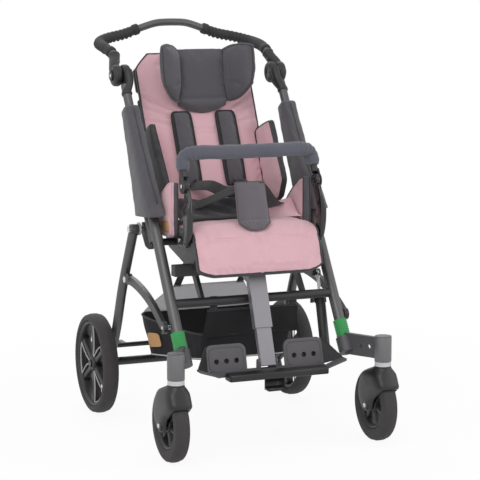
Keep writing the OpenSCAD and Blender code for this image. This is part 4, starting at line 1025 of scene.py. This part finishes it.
def make_sleeve(side, name):
    low = 416
    length = 334
    half_t = 23.2
    swell = 13
    end_stops = [0, 0.004, 0.012, 0.024]
    stops = end_stops + [0.04 + 0.92 * i / 40 for i in range(41)] + [1 - t for t in reversed(end_stops)]
    rings = []
    for t in stops:
        end = min(t, 1 - t) * length
        soft = 4 if t < 0.5 else 9
        round_off = sqrt(max(0, 1 - (1 - clamp(end / soft, 0, 1)) ** 2))
        ring = []
        for a in turns(56):
            c, s = squared(a, 0.62)
            ripple = 0.7 * sin(23 * t + 2.3 * sin(3 * a)) + 0.4 * sin(57 * t + 5 * a)
            thick = half_t - soft / 2 * (1 - round_off) + 0.5 * ripple
            if c > 0:
                thick += swell * (1 - t) ** 2
            broad = sleeve_wide(t) / 2 - soft * (1 - round_off) + ripple
            up = low + length * t + 0.55 * broad * s * (1 - t) ** 5
            ring.append(tube_at(side * (TUBE_X + thick * c), sleeve_mid(t) + broad * s, up))
        rings.append(ring)
    sleeve = loft("sleeve_fabric_" + name, rings, CHARCOAL)
    finish_pad(sleeve, "frame", ["tube_sleeves"], 0)
    for way, tag in ((1, "rear"), (-1, "front")):
        run = []
        for t in np.linspace(0.03, 0.97, 30):
            v = sleeve_mid(t) + way * (sleeve_wide(t) / 2 + 0.4)
            run.append(tube_at(side * TUBE_X, v, low + length * t))
        seam = sweep(f"sleeve_seam_{name}_{tag}", run, 0.0016, EDGE, 8)
        finish_piece(seam, "frame")


both(make_sleeve)

# Seat pad with the flap over the front edge
SEAT_T = 36


def seat_line():
    t = SEAT_T
    points = [
        (66 - t, 30.4), (-57, 30.4), (-176, 32), (-180 - t * 0.5, 30 - t * 0.3),
        (-197 - t * 0.75, -66 + t * 0.6), (-197 - t * 1.15, -66 - t * 0.1),
    ]
    return curve_through([Vector((y, z, 0)) for y, z in points], 12)


SEAT_LINE = seat_line()


# Point of the seat's line and the direction out of the pad there
def seat_spot(v):
    last = len(SEAT_LINE) - 1
    f = (v + 1) / 2 * last
    i = min(int(f), last - 1)
    p = SEAT_LINE[i].lerp(SEAT_LINE[i + 1], f - i)
    h = (SEAT_LINE[min(i + 2, last)] - SEAT_LINE[max(i - 1, 0)]).normalized()
    return p, Vector((h.y, -h.x, 0))


def seat_half(v):
    t = (v + 1) / 2
    half = 181.5
    taper = 44
    taper_from = 0.84
    if t > taper_from:
        half -= taper * ((t - taper_from) / 0.16) ** 1.3
    return half


def make_seat():
    nu = 56
    nv = 84

    def sheet(u, v, rise):
        p, n = seat_spot(v)
        q = p + n * rise
        return seat_at(-seat_half(v) * u, q.x, q.y)

    def front(u, v):
        thick = SEAT_T * (1 - 0.3 * (v + 1) / 2)
        return thick * (0.62 + 0.36 * crown(u, v, 5, 6))

    def dent(u, v):
        t = (v + 1) / 2
        n = seat_spot(v)[1]
        dip = 5.0 * bell(u, 0.024) * ease((t - 0.45) / 0.08)
        dip += 3.4 * bell(t - 0.60, 0.014) * ease((abs(u) - 0.12) / 0.2)
        dip += 2.6 * bell(t - 0.56 - 0.08 * abs(u), 0.016) * ease((abs(u) - 0.45) / 0.2)
        dip += 0.8 * sin(9 * u + 17 * v) * sin(5 * u - 11 * v) * (1 - u * u)
        return Vector((0, n.x, n.y)) * (dip / 1000)

    pad = pillow("seat_cushion", sheet, front, 0.6, nu, nv, [PINK, EDGE, EDGE], 4, 0.003)
    inflate(pad, 3.0, 0.006, 0.025, "behind")
    press(pad, nu, nv, dent)
    finish_pad(pad, "seat", ["seat_pad"])
    edge_piping("seat_piping", pad, "seat", 0.0028, EDGE)


make_seat()


# Back pad, wider above the wings
def back_half(s):
    wide = mix(161, 175, ease((s - 252) / 26))
    if s > 462:
        wide -= 42 * ((s - 462) / 48) ** 1.2
    if s < 96:
        wide -= 23 * ease((96 - s) / 40)
    return wide


def make_back():
    low = 46
    high = 510
    neck_dip = 30
    behind = 5.4
    thick = 27
    nu = 76
    nv = 100
    forward = back_at(0, -1, 0) - back_at(0, 0, 0)
    # Slanting folds: x, height, slope and depth
    folds = ((110, 344, 0.62, 9.0), (118, 318, 0.48, 8.0), (126, 292, 0.3, 5.0))

    def height(u, v):
        return mix(low, high - neck_dip * ease((0.62 - abs(u)) / 0.25), (v + 1) / 2)

    def sheet(u, v, n):
        s = height(u, v)
        return back_at(back_half(s) * u, n, s)

    def front(u, v):
        return behind + PAD_FIT - thick * (0.5 + 0.5 * crown(u, v, 4, 8))

    def dent(u, v):
        s = height(u, v)
        x = abs(back_half(s) * u)
        dip = 2.2 * bell(s - 268, 4) * ease((52 - x) / 20)
        dip += 2.0 * bell(s - 255, 5) * ease((46 - x) / 20)
        for x0, s0, slope, depth in folds:
            d = s - (s0 + slope * (x - x0))
            dip += depth * bell(d, 5.5) * ease((x - 66) / 22) * ease((174 - x) / 18)
        dip += 0.7 * sin(8 * u + 13 * v) * sin(6 * u - 9 * v) * (1 - u * u)
        return forward * dip

    pad = pillow("back_cushion", sheet, front, behind, nu, nv, [PINK, EDGE, EDGE], 3, 0.002)
    inflate(pad, 2.5, 0.003, 0.03, "behind")
    press(pad, nu, nv, dent)
    finish_pad(pad, "backrest", ["back_pad"])
    edge_piping("back_piping", pad, "backrest", 0.0026, EDGE)


make_back()


# Side wings: rosy panels with a dark padded edge
def make_wing(side, name):
    low = 36
    high = 262

    def sheet(u, v, x):
        t = (v + 1) / 2
        s = mix(low, high, t)
        reach = min(mix(134, 94, t), 84 + 50 * t / 0.2) - 3 * bell(t - 0.2, 0.05)
        n = 5.4 - reach * (u + 1) / 2
        return back_at(side * x, n, s + 4 * v * (1 - u * u))

    def inner(u, v):
        return mix(164, 171 + 5 * (v + 1) / 2, (u + 1) / 2) - 4 * crown(u, v, 4, 4)

    def outer(u, v):
        return mix(178, 186 + 5 * (v + 1) / 2, (u + 1) / 2) + 2 * crown(u, v, 6, 6)

    wing = pillow("wing_pad_" + name, sheet, inner, outer, 24, 32, [PINK, EDGE, EDGE], 4, 0.003)
    inflate(wing, 2.0, 0.004, 0.02)
    finish_pad(wing, "backrest", ["back_wings"])
    edge_piping("wing_piping_" + name, wing, "backrest", 0.0022, EDGE)


both(make_wing)


# Hip pads beside the seat; only the left one shows its pink outer rim, and the charcoal inner part of that
# rim is partly the rim's own colour and partly painted shade
def make_hip(side, name):
    def sheet(u, v, x):
        y = -38 - 62 * u
        low = 28 + 8 * abs(u) ** 5
        high = 34 + 144 * (1 - 0.58 * ((1 - u) / 2) ** 1.3) - 5 * abs(u) ** 5
        return seat_at(side * x, y, mix(low, high, (v + 1) / 2))

    def inner(u, v):
        return 187.4 - 2.4 * crown(u, v, 4, 4)

    def outer(u, v):
        return 207 + 5 * crown(u, v, 4, 4)

    def outer_face(u, v):
        return sheet(u, v, outer(u, v))

    mats = [PINK, CHARCOAL, PINK]
    rim = 5
    # Left pad: the charcoal inner rows of the rim are partly its own colour and partly painted shade; the
    # right pad's rim is all charcoal
    dark = 3 if side < 0 else rim
    pad = pillow("hip_cushion_" + name, sheet, inner, outer, 24, 26, mats, rim, 0.004, 0, dark)
    inflate(pad, 2.0, 0.003, 0.02)
    finish_pad(pad, "seat", ["hip_pads"])
    edge_piping(f"hip_piping_{name}_in", pad, "seat", 0.0022, EDGE)
    edge_piping(f"hip_piping_{name}_out", pad, "seat", 0.0022, PINK if side < 0 else EDGE, pad["layer"])
    patch = soft_patch("hip_patch_" + name, outer_face, 0.0, 0.9, -0.86, -0.38, 0.0035)
    finish_piece(patch, "seat")


both(make_hip)


# Shoulder pads of the harness
def make_shoulder(side, name):
    low = 96
    length = 224
    face = -23.2

    def sheet(u, v, rise):
        s = low + length * (v + 1) / 2
        half = 30 - 2.5 * abs(v) ** 8 - 7 * max(v, 0) ** 30
        bow = 2 * sin(pi * (v + 1) / 2)
        return back_at(side * SHOULDER_X + half * u, face - rise - bow, s)

    def front(u, v):
        return 5 + 8 * crown(u, v, 4, 6)

    mats = [CHARCOAL, WEB, EDGE]
    pad = pillow("shoulder_cushion_" + name, sheet, front, PAD_FIT, 16, 44, mats, 3, 0.0015, 2)
    inflate(pad, 2.0, 0.003, 0.015, "back")
    finish_pad(pad, "backrest", ["shoulder_pads"])
    edge_piping("shoulder_piping_" + name, pad, "backrest", 0.0032, WEB)


both(make_shoulder)


# Headrest: middle panel with a rolled lower edge
def make_head_middle():
    low = -8
    high = 168
    face = -28.2

    def sheet(u, v, rise):
        z = mix(low, high, (v + 1) / 2) + 20 * u * u * ease((-v - 0.5) / 0.5)
        half = 79 - 8 * ease((-v - 0.55) / 0.45)
        return head_at(half * u, face - rise, z)

    def front(u, v):
        roll = 7 * bell(v + 0.80, 0.16) - 4 * bell(v + 0.58, 0.05)
        return 8 + 8 * crown(u, v, 6, 6) + roll * (1 - abs(u) ** 8)

    pad = pillow("head_middle", sheet, front, PAD_FIT, 28, 40, [CHARCOAL, CHARCOAL, EDGE], 4, 0.005)
    inflate(pad, 2.0, 0.003, 0.02, "back")
    finish_pad(pad, "headrest", ["headrest_pad"])


# Padded wing of the headrest
def make_head_wing(side, name):
    turn = radians(41)

    def sheet(u, v, rise):
        t = (v + 1) / 2
        k = (u + 1) / 2
        out = 46 + (46 - 7 * ease((-v - 0.1) / 0.9)) * u
        z = mix(18 + 44 * k ** 1.6, 182 - 8 * (1 - k) ** 2 - 2 * k, t)
        z -= 8 * u * u * abs(v) ** 3 * copysign(1, v)
        x = 76 + out * cos(turn) - rise * sin(turn)
        y = -30 - out * sin(turn) - rise * cos(turn)
        return head_at(side * x, y, z)

    def front(u, v):
        return 12 + 17 * crown(u, v, 3, 4)

    def back(u, v):
        return 4 - 9 * crown(u, v, 3, 4)

    pad = pillow("head_wing_" + name, sheet, front, back, 20, 36, [CHARCOAL] * 3, 5, 0.006)
    inflate(pad, 2.5, 0.004, 0.02)
    finish_pad(pad, "headrest", ["headrest_pad"])
    edge_piping("head_wing_piping_" + name, pad, "headrest", 0.0018, EDGE)


make_head_middle()
both(make_head_wing)

# Crotch pad: its foot from the seat pivot, and its lean
CROTCH = (-186, 62.9)
CROTCH_LEAN = radians(18)


def crotch_at(x, up, rise):
    y = CROTCH[0] + up * sin(CROTCH_LEAN) - rise * cos(CROTCH_LEAN)
    z = CROTCH[1] + up * cos(CROTCH_LEAN) + rise * sin(CROTCH_LEAN)
    return seat_at(x, y, z)


def make_crotch():
    low = -19
    high = 117

    def sheet(u, v, rise):
        up = mix(low, high, (v + 1) / 2) + 3 * u * u * ease((-v - 0.6) / 0.4)
        half = 43.5 + 2 * bell(v + 0.45, 0.4)
        half -= 20 * clamp((-v - 0.7) / 0.3, 0, 1) + 2 * ease((v - 0.85) / 0.15)
        return crotch_at(half * u, up, rise + 15 * ease((-v - 0.45) / 0.55))

    def front(u, v):
        gather = 1.8 * sin(25 * u) * bell(v + 0.80, 0.12) - 3.5 * bell(v + 0.58, 0.035)
        return 9 + 15 * crown(u, v, 4, 4) + gather

    pad = pillow("crotch_cushion", sheet, front, PAD_FIT, 40, 44, [CROTCH_GREY, CROTCH_GREY, EDGE], 3, 0.002)
    finish_pad(pad, "seat", ["crotch_pad"])
    edge_piping("crotch_piping", pad, "seat", 0.0014, CHARCOAL)


make_crotch()


# Lap straps from the buckle to the hip pads
def make_lap(side, name):
    start = crotch_at(side * 23.4, 101, -8.2)
    end = seat_at(side * 181, -24, 86)
    sag = 0.004 if side < 0 else 0.02
    mid = (start + end) / 2 - UP * sag
    points = [start, start + Vector((side * 0.014, 0, 0)), mid, end - Vector((side * 0.02, 0, 0)), end]
    up = Vector((0, 0.4 + 0.7 * side, 1))
    belt = strap("lap_web_" + name, curve_through(points, 10), 0.038, 0.0026, up, WEB)
    finish_piece(belt, "seat", ["lap_straps"], 1)


# Soft roll along the rear of the seat, rising against the backrest
def make_roll(name, x0, x1, thick, mats):
    front = -116
    rear = -30
    base = 67.5
    climb = 46

    def sheet(u, v, rise):
        x = mix(x0, x1, (v + 1) / 2)
        wave = 5 * sin(x / 24.0 + 1.2) + 2 * sin(x / 9.0 + 1)
        y = mix(front, rear, (u + 1) / 2) + 0.6 * wave
        lift = climb * ease((u + 0.7) / 1.5) * (0.85 + 0.15 * sin(x / 31.0 + 0.7))
        return seat_at(x, y, base + lift + rise)

    def upper(u, v):
        fold = 0.3 * thick * sin(7 * u + 9 * v) * (1 - u * u)
        return thick + 1.1 * thick * crown(u, v, 4, 8) + fold

    pad = pillow(name, sheet, upper, PAD_FIT, 20, 44, mats, 3, 0.002)
    finish_pad(pad, "seat", ())


both(make_lap)
make_roll("lap_pad", -179, 34, 8, [EDGE, WEB, WEB])
make_roll("seat_roll", 32, 176, 3, [PINK, PINK, EDGE])


# Curved holders of the bumper bar: a bow along an arc from its foot to the bolt
def holder_bow(side):
    low = Vector((-184, 20))
    top = Vector(BUMPER_BOLT)
    run = top - low
    r = run.length * 0.9
    a = run.normalized()
    centre = (low + top) / 2 + sqrt(r * r - run.length_squared / 4) * Vector((a.y, -a.x))
    start = atan2((low - centre).y, (low - centre).x) % (2 * pi)
    stop = atan2((top - centre).y, (top - centre).x) % (2 * pi)
    stop += 0.12 if stop < start else -0.12
    rings = []
    for i in range(31):
        t = i / 30
        at_end = i in (0, 30)
        w = mix(start + 0.02, stop, t)
        way = Vector((cos(w), sin(w)))
        thin = ease((t - 0.66) / 0.16)
        wide = 19.6 * (1 - 0.12 * abs(2 * t - 1) ** 3) * (0.8 if at_end else 1)
        deep = mix(9.8, 5.8, thin) * (0.75 if at_end else 1)
        ring = []
        for b in turns(32):
            c, s = squared(b, 0.55)
            across = wide * c
            x = mix(196.2, 192.3, thin) + deep * s
            x -= 1.6 * bell(abs(across) - 9, 2.5) * (1 if sin(b) > 0 else 0)
            q = centre + way * (r + across)
            ring.append(seat_at(side * x, q.x, q.y))
        rings.append(ring)
    return loft("holder_bow", rings, GLOSS)


def make_holder(side, name):
    py, pz = SEAT_PIVOT
    by, bz = BUMPER_BOLT
    inner = 186.4
    outer = 198.2
    bow = holder_bow(side)
    disc = bored(rounded_disc(20, inner, outer, 3), 5.4)
    boss = turned_x("holder_boss", disc, (0, py + by, pz + bz), GLOSS, 40, side)
    corners = [(-184, 10), (-128, 10), (-128, 38), (-184, 38)]
    rings = []
    for x, inset in ((inner, 1), (inner + 1, 0), (outer - 1, 0), (outer, 1)):
        shrink = [(mix(y, -156, inset / 28), mix(z, 24, inset / 14)) for y, z in corners]
        rings.append([seat_at(side * x, y, z) for y, z in shrink])
    foot = loft("holder_foot", rings, GLOSS, smooth=False)
    finish_piece(join("bumper_holder_" + name, [bow, boss, foot]), "seat", ["side_plates"])
    bolts = []
    for y, z, x in ((by, bz, 202.7), (-174, 24, 197.8), (-140, 24, 197.8)):
        disc = rounded_disc(6, x, x + 3.4, 1.4)
        bolts.append(turned_x("holder_bolt", disc, (0, py + y, pz + z), STEEL, 24, side))
    finish_piece(join("bumper_bolt_" + name, bolts[:1]), "bumper")
    finish_piece(join("holder_bolts_" + name, bolts[1:]), "seat")


both(make_holder)


# Webbing of the harness, from the shoulder pads to the buckle
def make_harness(side, name):
    top = back_at(side * SHOULDER_X, -30, 106)
    below = back_at(side * (SHOULDER_X - 1), -42, 92)
    low = crotch_at(side * 22, 92, -9)
    out = Vector((side * 0.012, 0, 0))
    sag = UP * 0.004
    points = [top, below, top.lerp(low, 0.45) + out + sag, top.lerp(low, 0.75) + out - sag, low]
    path = curve_through(points, 10)
    web = strap("harness_web_" + name, path, 0.034, 0.0024, Vector((side, -0.5, 0.6)), WEB)
    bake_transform(web)


both(make_harness)


# Fabric cover of the bumper bar
def bumper_half():
    by, bz = BUMPER_BOLT
    x = 192.2
    front = -142
    high = 261
    points = [
        (x, by + 5.5, bz + 22.4), (x, by + 15, bz + 41), (x - 5.5, front - 3.6, high - 13.8),
        (x - 34.5, front - 10.8, high), (x * 0.4, front - 16.2, high), (0, front - 18, high),
    ]
    return curve_through([seat_at(*p) for p in points], 18)


def make_bumper():
    def radius(s, length, way):
        ends = min(s, length - s)
        r = 0.0192 - 0.004 * (1 - ease(ends / 0.012))
        corner = bell(ends - 0.055, 0.03)
        r += 0.0011 * corner * sin(s * 520) + 0.0005 * sin(s * 90 + 4 * way.x + 3 * way.y)
        return r

    cover = sweep("bumper_fabric_cover", whole_path(bumper_half()[18:]), radius, BLUE_GREY, 24)
    finish_pad(cover, "bumper", ["bumper_cover"], 0)


make_bumper()

# Basket: a sagging fabric tub, a front panel up to the cross tube, a pale panel behind
BASKET_HIGH = 292
BASKET_POWER = 0.28
TUB_FRONT_TOP = -424.5


# A place on the tub's wall: an angle round it, and a share of its height
def tub_at(a, t):
    front, front_z = (-412, 220)
    rear, rear_z = (-112, 182)
    rear_top = -24
    half = 199.5
    taper = 62
    c, s = squared(a, BASKET_POWER)
    y = mix(mix(front, TUB_FRONT_TOP, t), mix(rear, rear_top, t), (c + 1) / 2)
    share = clamp((y - front) / (rear - front), 0, 1)
    z = mix(mix(front_z, rear_z, share), BASKET_HIGH, t)
    z -= 7 * t ** 3 * (1 - abs(c)) ** 0.5 * abs(s)
    sag = sin(pi * t)
    fold = 1.6 * sin(9 * a + 5 * t) * sag + 1.0 * sin(21 * a - 3 * t) * sag
    wide = half - taper * (1 - c) / 2 + fold
    return at(wide * s, y + 0.6 * fold * c, z)


def make_tub():
    nu = 64
    nv = 24
    floor_rings = 8
    floor_sag = 0.003
    walls = [[tub_at(a, j / nv) for a in turns(nu)] for j in range(nv + 1)]
    verts = [p for ring in walls for p in ring]
    faces = ring_faces(nv + 1, nu)
    centre = sum(walls[0], Vector()) / nu
    last = list(range(nu))
    for k in range(1, floor_rings + 1):
        now = []
        for edge in walls[0]:
            p = edge.lerp(centre, k / (floor_rings + 0.5))
            p.z -= floor_sag * sin(pi / 2 * k / floor_rings)
            now.append(len(verts))
            verts.append(p)
        for i in range(nu):
            j = (i + 1) % nu
            faces.append((last[i], last[j], now[j], now[i]))
        last = now
    faces.append(tuple(last))
    tub = add_mesh("basket_fabric", verts, faces, NYLON)
    thicken(tub, 0.002, -1)
    finish_piece(tub, "frame", ["basket"])
    finish_piece(piping("basket_rim", walls[nv], 0.0026, WEB), "frame")
    finish_piece(piping("basket_piping", walls[1], 0.0019, LINING), "frame")


def cloth_panel(name, rows, mats):
    count = len(rows[0])
    verts = [p for row in rows for p in row]
    faces = []
    for j in range(len(rows) - 1):
        for i in range(count - 1):
            a = j * count + i
            faces.append((a, a + 1, a + count + 1, a + count))
    obj = add_mesh(name, verts, faces, mats)
    thicken(obj, 0.0016, 0)
    return obj


# Front panel with its hem and the two loops over the cross tube
def make_front_panel():
    top_y = -446
    top_z = 364
    rows = []
    for t in np.linspace(0, 1, 10):
        y = mix(TUB_FRONT_TOP, top_y, t)
        z = mix(BASKET_HIGH - 6, top_z, t)
        wide = mix(141, 134, t)
        wave = 2.5 * sin(pi * t)
        rows.append([at(wide * u, y + wave * sin(14 * u), z) for u in np.linspace(-1, 1, 41)])
    front = cloth_panel("basket_front", rows, NYLON)
    finish_piece(front, "frame", ["basket"])
    finish_piece(sweep("basket_hem", rows[-1], 0.0028, WEB, 10), "frame")
    for side, name in SIDES:
        x = side * 118
        run = [at(x, top_y, top_z - 2), at(x, top_y - 4, top_z + 10), at(x, top_y - 3, top_z + 40)]
        web = strap("basket_loop_" + name, curve_through(run, 6), 0.022, 0.002, Vector((0, 1, 0)), WEB)
        finish_piece(web, "frame", ["basket"])


# Pale back panel with the two straps that hold it up
def make_back_panel():
    rows = []
    for t in np.linspace(0, 1, 12):
        y = mix(-27, -118, t)
        z = mix(BASKET_HIGH - 3, 381, t)
        wide = mix(172, 108, t ** 1.3)
        dip = 2 * sin(pi * t)
        rows.append([at(wide * u, y - dip * (1 - u * u), z) for u in np.linspace(-1, 1, 31)])
    back = cloth_panel("basket_back", rows, PANEL)
    finish_piece(back, "frame", ["basket"])
    for side, name in SIDES:
        run = [at(side * 98, mix(-112, -258, t), mix(376, 519, t)) for t in (0, 0.3, 0.6, 1)]
        web = strap("basket_strap_" + name, curve_through(run, 8), 0.022, 0.0022, Vector((0, 0.7, 0.7)), WEB)
        finish_piece(web, "frame", ["basket"])


# Patch on the left wall, just proud of the cloth
def make_basket_patch():
    proud = Vector((-0.0035, 0, 0))

    def spot(u, v):
        c = 0.47 + 0.2 * u
        angle = 2 * pi - acos(c ** (1 / BASKET_POWER))
        return tub_at(angle, 0.45 + 0.19 * v - 0.03 * u) + proud

    finish_piece(soft_patch("basket_patch", spot, -1, 1, -1, 1, 0.002), "frame")


make_tub()
make_front_panel()
make_back_panel()
make_basket_patch()


# Whether a ray comes from the camera or a reflection
def seen_rays(tree):
    path = tree.nodes.new("ShaderNodeLightPath")
    seen = tree.nodes.new("ShaderNodeMath")
    seen.operation = "MAXIMUM"
    tree.links.new(path.outputs["Is Camera Ray"], seen.inputs[0])
    tree.links.new(path.outputs["Is Glossy Ray"], seen.inputs[1])
    return seen.outputs[0]


# White floor that shows a faint shadow near the buggy
def make_floor():
    reach = 30
    mesh = bpy.data.meshes.new("floor")
    corners = [(-reach, -reach, 0), (reach, -reach, 0), (reach, reach, 0), (-reach, reach, 0)]
    mesh.from_pydata(corners, [], [(0, 1, 2, 3)])
    floor = bpy.data.objects.new("floor", mesh)
    scene.collection.objects.link(floor)
    mat = bpy.data.materials.new("floor")
    mat.use_nodes = True
    tree = mat.node_tree
    bsdf = tree.nodes["Principled BSDF"]
    put(bsdf, Base_Color=(0.9, 0.9, 0.9, 1), Roughness=0.9)
    glow = tree.nodes.new("ShaderNodeEmission")
    put(glow, Strength=1)
    blend = tree.nodes.new("ShaderNodeMixShader")
    share = tree.nodes.new("ShaderNodeMath")
    share.operation = "MULTIPLY"
    spot = tree.nodes.new("ShaderNodeTexCoord")
    far = tree.nodes.new("ShaderNodeVectorMath")
    far.operation = "LENGTH"
    fade = tree.nodes.new("ShaderNodeMapRange")
    put(fade, From_Min=0.8, From_Max=2.0, To_Min=0.92, To_Max=1.0)
    tree.links.new(spot.outputs["Object"], far.inputs[0])
    tree.links.new(far.outputs["Value"], fade.inputs["Value"])
    tree.links.new(seen_rays(tree), share.inputs[0])
    tree.links.new(fade.outputs["Result"], share.inputs[1])
    tree.links.new(share.outputs[0], blend.inputs[0])
    tree.links.new(bsdf.outputs[0], blend.inputs[1])
    tree.links.new(glow.outputs[0], blend.inputs[2])
    tree.links.new(blend.outputs[0], tree.nodes["Material Output"].inputs["Surface"])
    mesh.materials.append(mat)


def make_light():
    world = bpy.data.worlds.new("world")
    scene.world = world
    world.use_nodes = True
    tree = world.node_tree
    background = tree.nodes["Background"]
    put(background, Color=(1, 1, 1, 1))
    level = tree.nodes.new("ShaderNodeMapRange")
    put(level, To_Min=0.62, To_Max=1.0)
    tree.links.new(seen_rays(tree), level.inputs["Value"])
    tree.links.new(level.outputs["Result"], background.inputs["Strength"])
    target = Vector((0, 0, 0.5))
    lamps = [
        ("key", (-2.2, -2.6, 3.2), 2.4, 62),
        ("fill", (2.8, -2.4, 2.0), 2.2, 26),
        ("rear", (0.4, 3.0, 2.6), 2.4, 30),
    ]
    for name, place, size, power in lamps:
        data = bpy.data.lights.new(name, "AREA")
        data.size = size
        data.energy = power
        lamp = bpy.data.objects.new(name, data)
        scene.collection.objects.link(lamp)
        lamp.location = place
        lamp.rotation_euler = (target - Vector(place)).to_track_quat("-Z", "Y").to_euler()


make_floor()
make_light()
